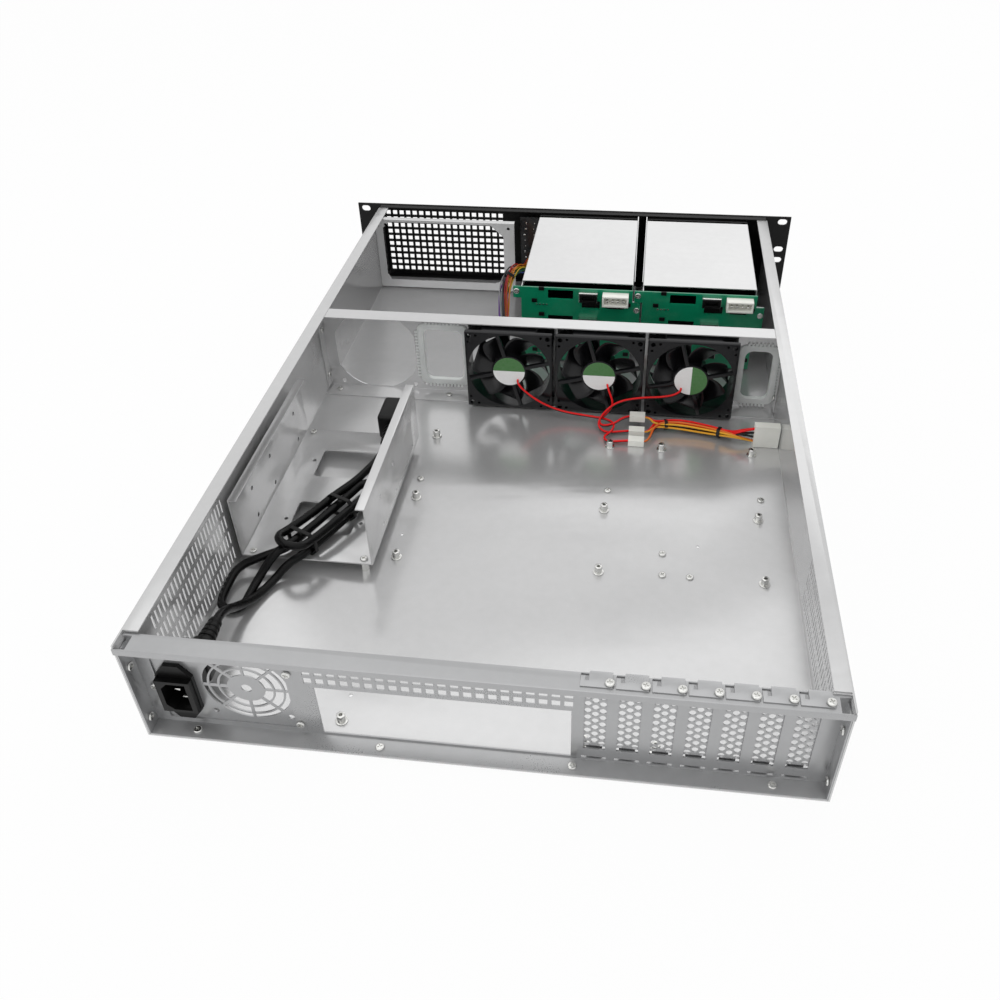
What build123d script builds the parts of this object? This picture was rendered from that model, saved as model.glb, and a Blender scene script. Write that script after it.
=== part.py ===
from build123d import *
import math
import os

os.makedirs("parts", exist_ok=True)

# Rack standard: a panel of two units, with its slots in four rows
rack_unit = 44.45
rack_units = 2
rack_gap = 0.8
rack_hole_edge = 6.35
panel_width = 482.6
ear_slot_spacing = 465.1
ear_slot_length = 10.0
ear_slot_width = 6.8
panel_height = rack_units * rack_unit - rack_gap

# The case's body
body_width = 430.0
body_height = 86.0
body_depth = 650.0
tray_sheet = 1.2
thin_sheet = 1.0
cage_sheet = 0.8
inner_bend = 0.3
seat = 0.1
loose = 0.3
side_flange = 11.0

# Sides of the polygons that stand for large rounds, hubs and pins
round_sides = 28
hub_sides = 16
pin_sides = 8

# Frame: +Y is the rear, the origin is under the middle of the whole case
panel_return = 10.0
total_depth = body_depth + panel_return
rear = total_depth / 2
front = -total_depth / 2
base = (panel_height - body_height) / 2
floor_top = base + tray_sheet
body_top = base + body_height
half_width = body_width / 2
inner_half = half_width - tray_sheet
under_flange = body_top - tray_sheet - loose


def behind(distance):
    """A place along Y, measured forward from the rear edge of the case."""
    return rear - distance


def upright(y):
    """A plane across the case: sketch X is X and sketch Y is Z."""
    return Plane.XZ.offset(-y)


def lengthwise(x):
    """A plane along the case: sketch X is Y and sketch Y is Z."""
    return Plane.YZ.offset(x)


def clipped(width, height, corner):
    """A rectangle with its corners cut off."""
    with BuildSketch(mode=Mode.PRIVATE) as outline:
        Rectangle(width, height)
        chamfer(outline.vertices(), corner)
    return outline.sketch


def fold(sheet):
    """The radius of a folded sheet's middle line."""
    return inner_bend + sheet / 2


def keep(piece, name, shift=(0, 0, 0)):
    """Label a finished piece, or a copy of it set off by shift, and write it."""
    placed = piece.moved(Location(shift))
    placed.label = name
    export_step(placed, f"parts/{name}.step")


# Rear end: the panel stands back from the rear edge, framed by its own flanges
rear_recess = 13.0
rear_lip = 5.0
shelf_end = 207.0
rear_flange_top = 7.0
shelf_drop = 2.0
shelf_top = body_top - shelf_drop
foot_z = floor_top + seat + thin_sheet / 2
panel_rear_face = behind(rear_recess)
panel_front_face = panel_rear_face - thin_sheet

# Side vents near the rear, in both side walls
vent_columns = 8
vent_rows = 3
vent_pitch_y = 16.2
vent_pitch_z = 20.5
vent_width = 6.4
vent_length = 15.5
vent_start = 43.0
vent_centre_z = base + 37.5

tray_rear = rear - thin_sheet - seat
tray_front = behind(body_depth)

with BuildPart() as base_tray:
    with BuildSketch(upright(tray_rear)):
        with BuildLine():
            wall_x = half_width - tray_sheet / 2
            low_z = base + tray_sheet / 2
            high_z = body_top - tray_sheet / 2
            FilletPolyline(
                (side_flange - half_width, high_z),
                (-wall_x, high_z),
                (-wall_x, low_z),
                (wall_x, low_z),
                (wall_x, high_z),
                (half_width - side_flange, high_z),
                radius=fold(tray_sheet),
            )
        trace(line_width=tray_sheet)
    extrude(amount=tray_rear - tray_front)
    # the top flanges stop short of the rear shelf
    with BuildSketch(Plane.XY.offset(body_top)):
        with Locations((0, rear)):
            Rectangle(2 * inner_half, 2 * (rear_recess + thin_sheet + loose))
    extrude(amount=-2 * tray_sheet, mode=Mode.SUBTRACT)
    # vertical vent slots, through both walls at once
    vent_centre_y = behind(vent_start + vent_pitch_y * (vent_columns - 1) / 2)
    with BuildSketch(lengthwise(-half_width)):
        with Locations((vent_centre_y, vent_centre_z)):
            with GridLocations(vent_pitch_y, vent_pitch_z, vent_columns, vent_rows):
                Rectangle(vent_width, vent_length)
    extrude(amount=body_width, mode=Mode.SUBTRACT)

# Openings of the rear panel
supply_left = 203.2
supply_right = 117.6
supply_low = base + 6.0
supply_high = base + 66.0
io_width = 158.75
io_height = 44.45
io_left = 100.5
io_low = base + 4.3
rear_vent_size = 5.2
rear_vent_width = 7.2
rear_vent_pitch = 7.62
rear_vent_step = 10.6
rear_vent_columns = 16
rear_vent_rows = 2
rear_vent_low = base + 54.6
rear_vent_left = 103.5
slot_count = 7
slot_pitch = 20.32
slot_first = -72.5
slot_opening_width = 13.4
slot_low = base + 13.5
slot_high = base + 72.0
slit_z = base + 4.9
slit_width = 15.5
slit_height = 1.8
slot_centres = [slot_first - slot_pitch * i for i in range(slot_count)]
flange_outside = inner_half - seat

with BuildPart() as rear_panel:
    shelf_z = shelf_top - thin_sheet / 2
    plate_y = panel_rear_face - thin_sheet / 2
    with BuildSketch(lengthwise(-half_width)):
        with BuildLine():
            FilletPolyline(
                (tray_rear, foot_z),
                (plate_y, foot_z),
                (plate_y, shelf_z),
                (rear - thin_sheet / 2, shelf_z),
                (rear - thin_sheet / 2, shelf_top - rear_lip),
                radius=fold(thin_sheet),
            )
        trace(line_width=thin_sheet)
    extrude(amount=body_width)
    # only the lip covers the ends of the side walls
    with BuildSketch(Plane.XY.offset(base)):
        with Locations((-half_width, behind(rear_recess)), (half_width, behind(rear_recess))):
            Rectangle(2 * (half_width - flange_outside), 2 * (tray_rear - behind(rear_recess)))
    extrude(amount=body_height, mode=Mode.SUBTRACT)
    # the shelf ends short of the walls
    with BuildSketch(Plane.XY.offset(shelf_top)):
        for side in (-1, 1):
            with Locations((side * (shelf_end + inner_half) / 2, behind(rear_recess / 2))):
                Rectangle(inner_half - shelf_end, rear_recess - 2 * thin_sheet)
    extrude(amount=-2 * thin_sheet, mode=Mode.SUBTRACT)
    # side flanges, which the case screws hold to the walls
    flange_high = body_top - rear_flange_top
    with BuildSketch(lengthwise(flange_outside - thin_sheet)):
        with BuildLine():
            Polyline(
                (panel_front_face, floor_top + seat),
                (tray_rear, floor_top + seat),
                (tray_rear, flange_high - 3),
                (tray_rear - 3, flange_high),
                (panel_front_face, flange_high),
                close=True,
            )
        make_face()
    side_panel = extrude(amount=thin_sheet)
    mirror(side_panel, about=Plane.YZ)
    # openings for the mains plate, the mainboard's sockets and the air
    with BuildSketch(upright(panel_rear_face)):
        with Locations(((supply_left + supply_right) / 2, (supply_low + supply_high) / 2)):
            Rectangle(supply_left - supply_right, supply_high - supply_low)
        with Locations((io_left - io_width / 2, io_low + io_height / 2)):
            Rectangle(io_width, io_height)
        vent_span = rear_vent_step * (rear_vent_columns - 1)
        vent_rise = rear_vent_pitch * (rear_vent_rows - 1)
        with Locations((rear_vent_left - vent_span / 2, rear_vent_low + vent_rise / 2)):
            with GridLocations(rear_vent_step, rear_vent_pitch, rear_vent_columns, rear_vent_rows):
                Rectangle(rear_vent_width, rear_vent_size)
        for x in slot_centres:
            with Locations((x, (slot_low + slot_high) / 2)):
                Rectangle(slot_opening_width, slot_high - slot_low)
            with Locations((x, slit_z)):
                Rectangle(slit_width, slit_height)
    extrude(amount=thin_sheet, mode=Mode.SUBTRACT)

# Slot covers: perforated strips behind the panel, their tabs on the shelf
cover_sheet = 0.8
cover_width = 18.4
cover_tab = 11.0
cover_foot_width = 10.0
cover_shoulder = base + 16.0
cover_foot = base + 7.0
cover_hole = 7.0
cover_hole_columns = 3
cover_hole_rows = 3
cover_hole_pitch_x = 4.6
cover_hole_pitch_z = 14.5
cover_hole_low = base + 22.0
cover_y = panel_front_face - seat - cover_sheet / 2
cover_x = slot_centres[0]

with BuildPart() as slot_cover:
    tab_z = shelf_top + seat + cover_sheet / 2
    with BuildSketch(lengthwise(cover_x - cover_width / 2)):
        with BuildLine():
            FilletPolyline(
                (cover_y, cover_foot),
                (cover_y, tab_z),
                (cover_y + cover_tab, tab_z),
                radius=fold(cover_sheet),
            )
        trace(line_width=cover_sheet)
    extrude(amount=cover_width)
    with BuildSketch(upright(cover_y + cover_sheet)):
        # the foot is a narrow tongue
        shoulder_width = (cover_width - cover_foot_width) / 2
        for side in (-1, 1):
            with Locations((cover_x + side * (cover_width - shoulder_width) / 2, cover_foot)):
                Rectangle(shoulder_width, 2 * (cover_shoulder - cover_foot))
        for column in range(cover_hole_columns):
            stagger = cover_hole_pitch_z / 2 * (column % 2)
            hole_x = cover_x + (column - (cover_hole_columns - 1) / 2) * cover_hole_pitch_x
            for row in range(cover_hole_rows):
                with Locations((hole_x, cover_hole_low + row * cover_hole_pitch_z + stagger)):
                    RegularPolygon(cover_hole / 2, 4)
    extrude(amount=2 * cover_sheet, mode=Mode.SUBTRACT)

for index, x in enumerate(slot_centres):
    keep(slot_cover.part, f"slot_cover_{index + 1}", (x - cover_x, 0, 0))

# Plate behind the panel that carries the mains inlet and a small fan's grille
plate_left = 208.0
plate_right = 112.0
plate_low = base + 3.4
plate_high = base + 70.0
plate_rear_face = panel_front_face - seat
inlet_x = 190.0
inlet_z = base + 34.0
inlet_cut_width = 20.4
inlet_cut_height = 27.8
grille_x = 145.4
grille_z = base + 40.5
grille_rings = [(12.0, 17.4), (18.6, 24.0), (25.2, 28.5)]
grille_spokes = 8
spoke_width = 1.6
grille_eye = 3.5
grille_fan_holes = 50.0

with BuildPart() as inlet_plate:
    with BuildSketch(upright(plate_rear_face)):
        with Locations(((plate_left + plate_right) / 2, (plate_low + plate_high) / 2)):
            Rectangle(plate_left - plate_right, plate_high - plate_low)
        with Locations((inlet_x, inlet_z)):
            Rectangle(inlet_cut_width, inlet_cut_height, mode=Mode.SUBTRACT)
        with Locations((grille_x, grille_z)):
            for inside, outside in grille_rings:
                RegularPolygon(outside, round_sides, mode=Mode.SUBTRACT)
                RegularPolygon(inside, round_sides)
            with PolarLocations(0, grille_spokes // 2, angular_range=180):
                Rectangle(2 * grille_rings[-1][1] + 1, spoke_width)
            RegularPolygon(grille_eye, pin_sides, mode=Mode.SUBTRACT)
            with GridLocations(grille_fan_holes, grille_fan_holes, 2, 2):
                RegularPolygon(2.2, 6, mode=Mode.SUBTRACT)
    extrude(amount=thin_sheet)

# Mains inlet: a flanged appliance inlet, standing on end
inlet_flange_width = 24.0
inlet_flange_height = 50.0
inlet_flange_body = 31.0
inlet_flange = 3.0
inlet_rim = 4.0
inlet_ear = 10.0
socket_width = 16.4
socket_height = 24.4
socket_corner = 4.5
socket_depth = 17.0
inlet_back = 16.0
pin_length = 10.0
pin_spacing = 7.0
inlet_seat = plate_rear_face + seat
inlet_mouth = inlet_seat + inlet_flange + inlet_rim


def beside_inlet(points):
    """Turn sketch points about the inlet's centre into places on the panel."""
    return [(inlet_x + a, inlet_z + b) for a, b in points]


with BuildPart() as mains_inlet:
    flat = inlet_flange_width / 2
    tall = inlet_flange_height / 2
    shoulder = inlet_flange_body / 2
    with BuildSketch(upright(inlet_seat)):
        with BuildLine():
            Polyline(
                *beside_inlet(
                    [
                        (-flat, -shoulder),
                        (-inlet_ear / 2, -tall),
                        (inlet_ear / 2, -tall),
                        (flat, -shoulder),
                        (flat, shoulder),
                        (inlet_ear / 2, tall),
                        (-inlet_ear / 2, tall),
                        (-flat, shoulder),
                    ]
                ),
                close=True,
            )
        make_face()
    extrude(amount=-inlet_flange)
    with BuildSketch(upright(inlet_seat)):
        with Locations((inlet_x, inlet_z)):
            Rectangle(inlet_flange_width - 1, inlet_flange_body - 2)
    extrude(amount=-(inlet_flange + inlet_rim))
    with BuildSketch(upright(inlet_seat)):
        with Locations((inlet_x, inlet_z)):
            Rectangle(inlet_cut_width - 2 * seat, inlet_cut_height - 2 * seat)
    extrude(amount=inlet_back)
    wide = socket_width / 2
    high = socket_height / 2
    with BuildSketch(upright(inlet_mouth)):
        with BuildLine():
            Polyline(
                *beside_inlet(
                    [
                        (-wide, -high),
                        (wide - socket_corner, -high),
                        (wide, socket_corner - high),
                        (wide, high - socket_corner),
                        (wide - socket_corner, high),
                        (-wide, high),
                    ]
                ),
                close=True,
            )
        make_face()
    extrude(amount=socket_depth, mode=Mode.SUBTRACT)
    with BuildSketch(upright(inlet_mouth - socket_depth)):
        with Locations(*beside_inlet([(-2, -pin_spacing), (2, 0), (-2, pin_spacing)])):
            Rectangle(4, 2)
    extrude(amount=-pin_length)

# Mainboard holes: the standard pattern of full-size boards, from its rear left hole
board_column_1 = 92.5
board_columns = [0.0, 157.48, 203.2, 281.94]
board_row_1 = 24.9
board_rows = [0.0, 154.94, 227.33, 315.0]
board_front_row = behind(board_row_1 + board_rows[-1])

# The drive cages stand against the front, the fan wall midway between them and the board
cage_inset = 10.0
cage_length = 149.9
cage_front = tray_front + cage_inset
cage_rear = cage_front + cage_length

# Fan wall across the case, its flanges turned to the rear
wall_rear_face = (board_front_row + cage_rear) / 2
wall_top_flange = 16.0
wall_foot = 18.0
wall_end_flange = 10.0
wall_end_low = base + 4.0
wall_end_high = base + 72.0
fan_size = 80.0
fan_depth = 25.0
fan_hole_spacing = 71.5
fan_pitch = 82.8
fan_count = 3
fan_first = 31.9
fan_z = base + 43.0
fan_opening_radius = 42.0
fan_opening_width = 77.0
fan_opening_height = 79.0
empty_fan_x = 163.7
empty_fan_z = base + 43.0
fan_screw_radius = 2.2
port_edge = 3.5
port_corner = 9.0
port_clip = 6.0
large_port = (97.3, base + 42.5, 44.0, 61.0)
small_port = (-194.2, base + 37.5, 32.0, 58.0)
tie_holes = [(117.5, base + 9.2), (96.1, base + 9.2)]
fan_centres = [fan_first - fan_pitch * i for i in range(fan_count)]

with BuildPart() as fan_wall:
    plate_mid = wall_rear_face - thin_sheet / 2
    wall_top = body_top - thin_sheet / 2
    with BuildSketch(lengthwise(-flange_outside)):
        with BuildLine():
            FilletPolyline(
                (wall_rear_face + wall_foot, foot_z),
                (plate_mid, foot_z),
                (plate_mid, wall_top),
                (wall_rear_face + wall_top_flange, wall_top),
                radius=fold(thin_sheet),
            )
        trace(line_width=thin_sheet)
    extrude(amount=2 * flange_outside)
    # the ends pass under the flanges of the side walls
    with BuildSketch(Plane.XY.offset(under_flange)):
        for side in (-1, 1):
            with Locations((side * half_width, wall_rear_face)):
                Rectangle(2 * (side_flange + loose), 4 * wall_top_flange)
    extrude(amount=2 * tray_sheet, mode=Mode.SUBTRACT)
    # end flanges against the side walls
    with BuildSketch(lengthwise(flange_outside - thin_sheet)):
        with Locations((wall_rear_face + wall_end_flange / 2, (wall_end_low + wall_end_high) / 2)):
            Rectangle(wall_end_flange + thin_sheet, wall_end_high - wall_end_low)
    end_flange = extrude(amount=thin_sheet)
    mirror(end_flange, about=Plane.YZ)
    with BuildSketch(upright(wall_rear_face)):
        for x in [*fan_centres, empty_fan_x]:
            with Locations((x, empty_fan_z)):
                with BuildSketch(mode=Mode.PRIVATE) as fan_opening:
                    RegularPolygon(fan_opening_radius, round_sides)
                    Rectangle(fan_opening_width, fan_opening_height, mode=Mode.INTERSECT)
                add(fan_opening.sketch)
        with Locations((empty_fan_x, empty_fan_z)):
            with GridLocations(fan_hole_spacing, fan_hole_spacing, 2, 2):
                Circle(fan_screw_radius)
        for x, z, width, height in (large_port, small_port):
            with Locations((x, z)):
                add(clipped(width, height, port_clip))
        with Locations(*tie_holes):
            RegularPolygon(2.0, 6)
    extrude(amount=thin_sheet, mode=Mode.SUBTRACT)

# Edge trim round the two cable ports, with a groove that takes the wall
trim_depth = 4.6
trim_cover = 2.0


with BuildPart() as port_trims:
    for x, z, width, height in (large_port, small_port):
        with BuildSketch(upright(wall_rear_face + (trim_depth - thin_sheet) / 2)):
            with Locations((x, z)):
                add(clipped(width + 2 * trim_cover, height + 2 * trim_cover, port_corner / 2))
                add(clipped(width - 2 * port_edge, height - 2 * port_edge, port_corner), mode=Mode.SUBTRACT)
        extrude(amount=trim_depth)
        with BuildSketch(upright(wall_rear_face + seat)):
            with Locations((x, z)):
                Rectangle(width + 3 * trim_cover, height + 3 * trim_cover)
                add(clipped(width - 2 * seat, height - 2 * seat, port_corner), mode=Mode.SUBTRACT)
        extrude(amount=thin_sheet + 2 * seat, mode=Mode.SUBTRACT)

# Fans: square frame, four arms and a hub at the rear, a seven-bladed rotor
fan_bore = 38.0
fan_rim = 4.0
fan_waist_cut = 22.0
hub_radius = 16.0
hub_plate = 4.0
arm_count = 4
arm_width = 3.6
arm_lean = 20.0
axle_radius = 1.5
axle_fit = 0.05
rotor_gap = 0.5
rotor_inset = 1.5
rotor_cap = 1.0
rotor_radius = 15.0
blade_count = 7
blade_tip = 34.6
blade_root = 2.0
blade_sheet = 1.4
blade_curve = [(-8.5, -10.0), (-2.5, -6.0), (3.5, 0.5), (8.5, 9.0)]
fan_front = wall_rear_face + seat
fan_rear = fan_front + fan_depth
fan_x = fan_centres[0]
rotor_rear = fan_rear - hub_plate - rotor_gap
rotor_length = fan_depth - hub_plate - rotor_gap - rotor_inset
rotor_middle = Vector(fan_x, rotor_rear - rotor_length / 2, fan_z)

with BuildPart() as fan_frame:
    with BuildSketch(upright(fan_rear)):
        with Locations((fan_x, fan_z)):
            Rectangle(fan_size, fan_size)
            RegularPolygon(fan_bore, round_sides, major_radius=False, mode=Mode.SUBTRACT)
    extrude(amount=fan_depth)
    # between its two rims the frame is cut away at the corners
    with BuildSketch(upright(fan_rear - fan_rim)):
        with Locations((fan_x, fan_z)):
            with GridLocations(fan_size, fan_size, 2, 2):
                Rectangle(fan_waist_cut, fan_waist_cut, rotation=45)
    extrude(amount=fan_depth - 2 * fan_rim, mode=Mode.SUBTRACT)
    with BuildSketch(upright(fan_rear)):
        with Locations((fan_x, fan_z)):
            with GridLocations(fan_hole_spacing, fan_hole_spacing, 2, 2):
                RegularPolygon(fan_screw_radius, 4)
    extrude(amount=fan_rim, mode=Mode.SUBTRACT)
    with BuildSketch(upright(fan_rear)):
        with Locations((fan_x, fan_z)):
            RegularPolygon(hub_radius, hub_sides)
            with PolarLocations(0, arm_count, start_angle=arm_lean):
                with Locations((fan_bore / 2 + 1, hub_radius / 2)):
                    Rectangle(fan_bore + 1, arm_width)
    extrude(amount=hub_plate)
    with BuildSketch(upright(fan_rear - hub_plate)):
        with Locations((fan_x, fan_z)):
            RegularPolygon(axle_radius, pin_sides)
    extrude(amount=rotor_length - rotor_cap - rotor_gap)

with BuildPart() as fan_rotor:
    with BuildSketch(upright(rotor_rear)):
        with Locations((fan_x, fan_z)):
            RegularPolygon(rotor_radius, hub_sides)
    extrude(amount=rotor_length)
    # each blade is a curved strip, drawn across the radius it runs along
    for index in range(blade_count):
        radial = Vector(1, 0, 0).rotate(Axis.Y, index * 360 / blade_count)
        root = rotor_middle + radial * (rotor_radius - blade_root)
        with BuildSketch(Plane(origin=root, x_dir=(0, 1, 0), z_dir=radial)):
            with BuildLine():
                Polyline(*blade_curve)
            trace(line_width=blade_sheet)
        extrude(amount=blade_tip - rotor_radius + blade_root)
    with BuildSketch(upright(rotor_rear)):
        with Locations((fan_x, fan_z)):
            RegularPolygon(axle_radius + axle_fit, pin_sides, major_radius=False)
    extrude(amount=rotor_length - rotor_cap, mode=Mode.SUBTRACT)

for index, x in enumerate(fan_centres):
    keep(fan_frame.part, f"fan_frame_{index + 1}", (x - fan_x, 0, 0))
    keep(fan_rotor.part, f"fan_rotor_{index + 1}", (x - fan_x, 0, 0))

# Power supply's bracket behind the front grille
bracket_rear_face = tray_front + 27.0
bracket_right = 57.5
bracket_foot = 10.0
supply_opening = [
    (69.8, 15.0), (80.8, 11.0), (201.4, 11.0), (205.6, 18.0),
    (205.6, 73.5), (197.5, 81.0), (84.0, 81.0), (69.8, 68.0),
]
supply_top_holes = [(202.1, 77.5), (64.1, 77.5)]

with BuildPart() as psu_bracket:
    plate_mid = bracket_rear_face - thin_sheet / 2
    with BuildSketch(lengthwise(bracket_right)):
        with BuildLine():
            FilletPolyline(
                (bracket_rear_face - bracket_foot, foot_z),
                (plate_mid, foot_z),
                (plate_mid, under_flange - thin_sheet / 2),
                (bracket_rear_face - bracket_foot / 2, under_flange - thin_sheet / 2),
                radius=fold(thin_sheet),
            )
        trace(line_width=thin_sheet)
    extrude(amount=flange_outside - bracket_right)
    with BuildSketch(lengthwise(flange_outside - thin_sheet)):
        with Locations((bracket_rear_face - bracket_foot / 2, (wall_end_low + wall_end_high) / 2)):
            Rectangle(bracket_foot, wall_end_high - wall_end_low)
    extrude(amount=thin_sheet)
    with BuildSketch(upright(bracket_rear_face)):
        with BuildLine():
            Polyline(*[(x, base + z) for x, z in supply_opening], close=True)
        make_face()
        with Locations(*[(x, base + z) for x, z in supply_top_holes]):
            RegularPolygon(2.0, 6)
    extrude(amount=thin_sheet, mode=Mode.SUBTRACT)

# Drive cages: two sleeves side by side, three bays in each
bay_rows = 3
row_pitch = 27.6
cage_count = 2
cage_pitch = 117.4
cage_first = -22.6
cage_width = 108.0
cage_top = body_top - 0.9
ledge = 3.0
backplane_gap = 9.0
tab_width = 7.6
left_tab_low = base + 72.0
right_tab_low = base + 48.5
right_tab_high = base + 71.5
row_floors = [floor_top + loose + cage_sheet + row_pitch * i for i in range(bay_rows)]
cage_centres = [cage_first - cage_pitch * i for i in range(cage_count)]
board_rear_face = cage_rear + backplane_gap + 2.0
board_sheet = 1.6
board_front_face = board_rear_face - board_sheet
tab_y = board_front_face - seat - cage_sheet / 2


cage_x = cage_centres[0]

with BuildPart() as drive_cage:
    side_mid = (cage_width - cage_sheet) / 2
    with BuildSketch(upright(cage_rear)):
        with BuildLine():
            FilletPolyline(
                (cage_x - side_mid, floor_top + seat),
                (cage_x - side_mid, cage_top - cage_sheet / 2),
                (cage_x + side_mid, cage_top - cage_sheet / 2),
                (cage_x + side_mid, floor_top + seat),
                radius=fold(cage_sheet),
            )
        trace(line_width=cage_sheet)
        # ledges that carry the trays
        for z in row_floors:
            for side in (-1, 1):
                with Locations((cage_x + side * (cage_width - ledge) / 2, z - cage_sheet / 2)):
                    Rectangle(ledge, cage_sheet)
    extrude(amount=cage_rear - cage_front)
    # ears, set at two heights so that neighbouring cages interleave
    for side, low, high in ((1, left_tab_low, cage_top - 2), (-1, right_tab_low, right_tab_high)):
        with BuildSketch(Plane.XY.offset(low)):
            with BuildLine():
                Polyline(
                    (cage_x + side * side_mid, cage_rear - 2),
                    (cage_x + side * side_mid, tab_y),
                    (cage_x + side * (side_mid + tab_width), tab_y),
                )
            trace(line_width=cage_sheet)
        extrude(amount=high - low)

# Backplanes: one board behind each cage, with its sockets on both faces
board_top = body_top - 2.2
board_low = floor_top + 2.0
vent_cut = (15.5, 24.5, 9.5)
lower_cut = (-14.0, 17.6, 8.0)
power_cut = (-37.5, 18.0, 4.4)
socket_heights = [z + 19.4 for z in row_floors]
power_z = base + 76.0
power_x = -37.8
power_depth = 10.0
data_x = -11.5
drive_socket_x = -20.0
drive_socket_rise = 6.0
drive_socket_depth = 8.0


with BuildPart() as backplane:
    half_board = cage_width / 2
    with BuildSketch(upright(board_rear_face)):
        with Locations((cage_x, (board_low + board_top) / 2)):
            Rectangle(cage_width, board_top - board_low)
        with Locations((cage_x + half_board + tab_width / 2, (left_tab_low + board_top) / 2)):
            Rectangle(tab_width, board_top - left_tab_low)
        with Locations((cage_x - half_board - tab_width / 2, (right_tab_low + right_tab_high) / 2)):
            Rectangle(tab_width, right_tab_high - right_tab_low)
        for z in socket_heights:
            with Locations((cage_x + vent_cut[0], z)):
                Rectangle(vent_cut[1], vent_cut[2], mode=Mode.SUBTRACT)
        with Locations((cage_x + lower_cut[0], base + 67.2)):
            Rectangle(lower_cut[1], lower_cut[2], mode=Mode.SUBTRACT)
        with Locations((cage_x + power_cut[0], base + 65.8)):
            Rectangle(power_cut[1], power_cut[2], mode=Mode.SUBTRACT)
    extrude(amount=board_sheet)

# The sockets soldered to it: data and power behind, one for each drive in front
with BuildPart() as backplane_sockets:
    with BuildSketch(upright(board_rear_face)):
        for z in socket_heights:
            with Locations((cage_x + data_x, z)):
                Rectangle(16.6, 8.6)
                Rectangle(11.0, 3.0, mode=Mode.SUBTRACT)
    extrude(amount=-7.0)
    with BuildSketch(upright(board_rear_face)):
        with Locations((cage_x + power_x, power_z)):
            Rectangle(25.0, 11.0)
    extrude(amount=-power_depth)
    with BuildSketch(upright(board_rear_face + power_depth)):
        with Locations((cage_x + power_x, power_z)):
            Rectangle(21.6, 7.6)
    extrude(amount=power_depth - board_sheet, mode=Mode.SUBTRACT)
    with BuildSketch(upright(board_front_face)):
        for z in row_floors:
            with Locations((cage_x + drive_socket_x, z + drive_socket_rise)):
                Rectangle(42.0, 7.0)
    extrude(amount=drive_socket_depth)

for index, x in enumerate(cage_centres):
    keep(drive_cage.part, f"drive_cage_{index + 1}", (x - cage_x, 0, 0))
    keep(backplane.part, f"backplane_{index + 1}", (x - cage_x, 0, 0))
    keep(backplane_sockets.part, f"backplane_sockets_{index + 1}", (x - cage_x, 0, 0))

# Front panel: a folded plate with rack ears, a grille and the drive openings
panel_sheet = 2.0
grille_hole = 8.0
grille_pitch = 11.4
grille_columns = 12
grille_rows = 7
grille_left = 205.1
grille_low = base + 8.8
bay_clearance = 0.5
button_x = 44.0
power_button_z = base + 62.0
reset_button_z = base + 46.0
power_radius = 4.0
reset_radius = 2.2
return_inset = 0.6
panel_back = front + panel_sheet
bay_low = row_floors[0] - 0.4
bay_high = row_floors[0] + bay_rows * row_pitch - 0.2
ear_rows = [
    rack_hole_edge - rack_gap / 2,
    rack_unit - rack_hole_edge - rack_gap / 2,
    rack_unit + rack_hole_edge - rack_gap / 2,
    2 * rack_unit - rack_hole_edge - rack_gap / 2,
]

with BuildPart() as front_panel:
    with BuildSketch(upright(panel_back)):
        with Locations((0, panel_height / 2)):
            RectangleRounded(panel_width, panel_height, 2.0)
    extrude(amount=panel_sheet)
    # returns along the top and the bottom, and a strip inside each side wall
    with BuildSketch(upright(tray_front - seat)):
        for z in (return_inset + thin_sheet / 2, panel_height - return_inset - thin_sheet / 2):
            with Locations((0, z)):
                Rectangle(2 * flange_outside, thin_sheet)
    extrude(amount=tray_front - seat - panel_back)
    with BuildSketch(upright(tray_front + 12)):
        for side in (-1, 1):
            with Locations((side * (flange_outside - thin_sheet / 2), (floor_top + under_flange) / 2)):
                Rectangle(thin_sheet, under_flange - floor_top - 8)
    extrude(amount=panel_return + 12 - panel_sheet)
    with BuildSketch(upright(panel_back)):
        for side in (-1, 1):
            for z in ear_rows:
                with Locations((side * ear_slot_spacing / 2, z)):
                    SlotOverall(ear_slot_length, ear_slot_width)
        grille_span = grille_pitch * (grille_columns - 1)
        grille_rise = grille_pitch * (grille_rows - 1)
        with Locations((grille_left - grille_span / 2, grille_low + grille_rise / 2)):
            with GridLocations(grille_pitch, grille_pitch, grille_columns, grille_rows):
                Rectangle(grille_hole, grille_hole)
        for x in cage_centres:
            with Locations((x, (bay_low + bay_high) / 2)):
                Rectangle(cage_width + 2 * bay_clearance, bay_high - bay_low)
        with Locations((button_x, power_button_z)):
            RegularPolygon(power_radius + loose, hub_sides, major_radius=False)
        with Locations((button_x, reset_button_z)):
            RegularPolygon(reset_radius + loose, pin_sides, major_radius=False)
    extrude(amount=panel_sheet, mode=Mode.SUBTRACT)
    # studs that carry the control board
    board_stud = 8.0
    stud_heights = (base + 18.0, base + 76.0)
    with BuildSketch(upright(panel_back)):
        with Locations(*[(button_x, z) for z in stud_heights]):
            RegularPolygon(2.4, 6)
    extrude(amount=-board_stud)

# Control board, its two buttons and its header
control_face = panel_back + board_stud + seat
switch_height = 4.0
button_travel = 1.2

with BuildPart() as control_board:
    with BuildSketch(upright(control_face + board_sheet)):
        with Locations((button_x, (stud_heights[0] + stud_heights[1]) / 2)):
            Rectangle(20.0, stud_heights[1] - stud_heights[0] + 10)
    extrude(amount=board_sheet)
    with BuildSketch(upright(control_face)):
        with Locations((button_x, power_button_z), (button_x, reset_button_z)):
            Rectangle(6.0, 6.0)
    extrude(amount=switch_height)
    with BuildSketch(upright(control_face + board_sheet)):
        with Locations((button_x, base + 32.0)):
            Rectangle(5.0, 22.0)
    extrude(amount=-8.0)


button_reach = board_stud + panel_sheet - switch_height - button_travel - loose
button_collar = 1.2


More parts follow.
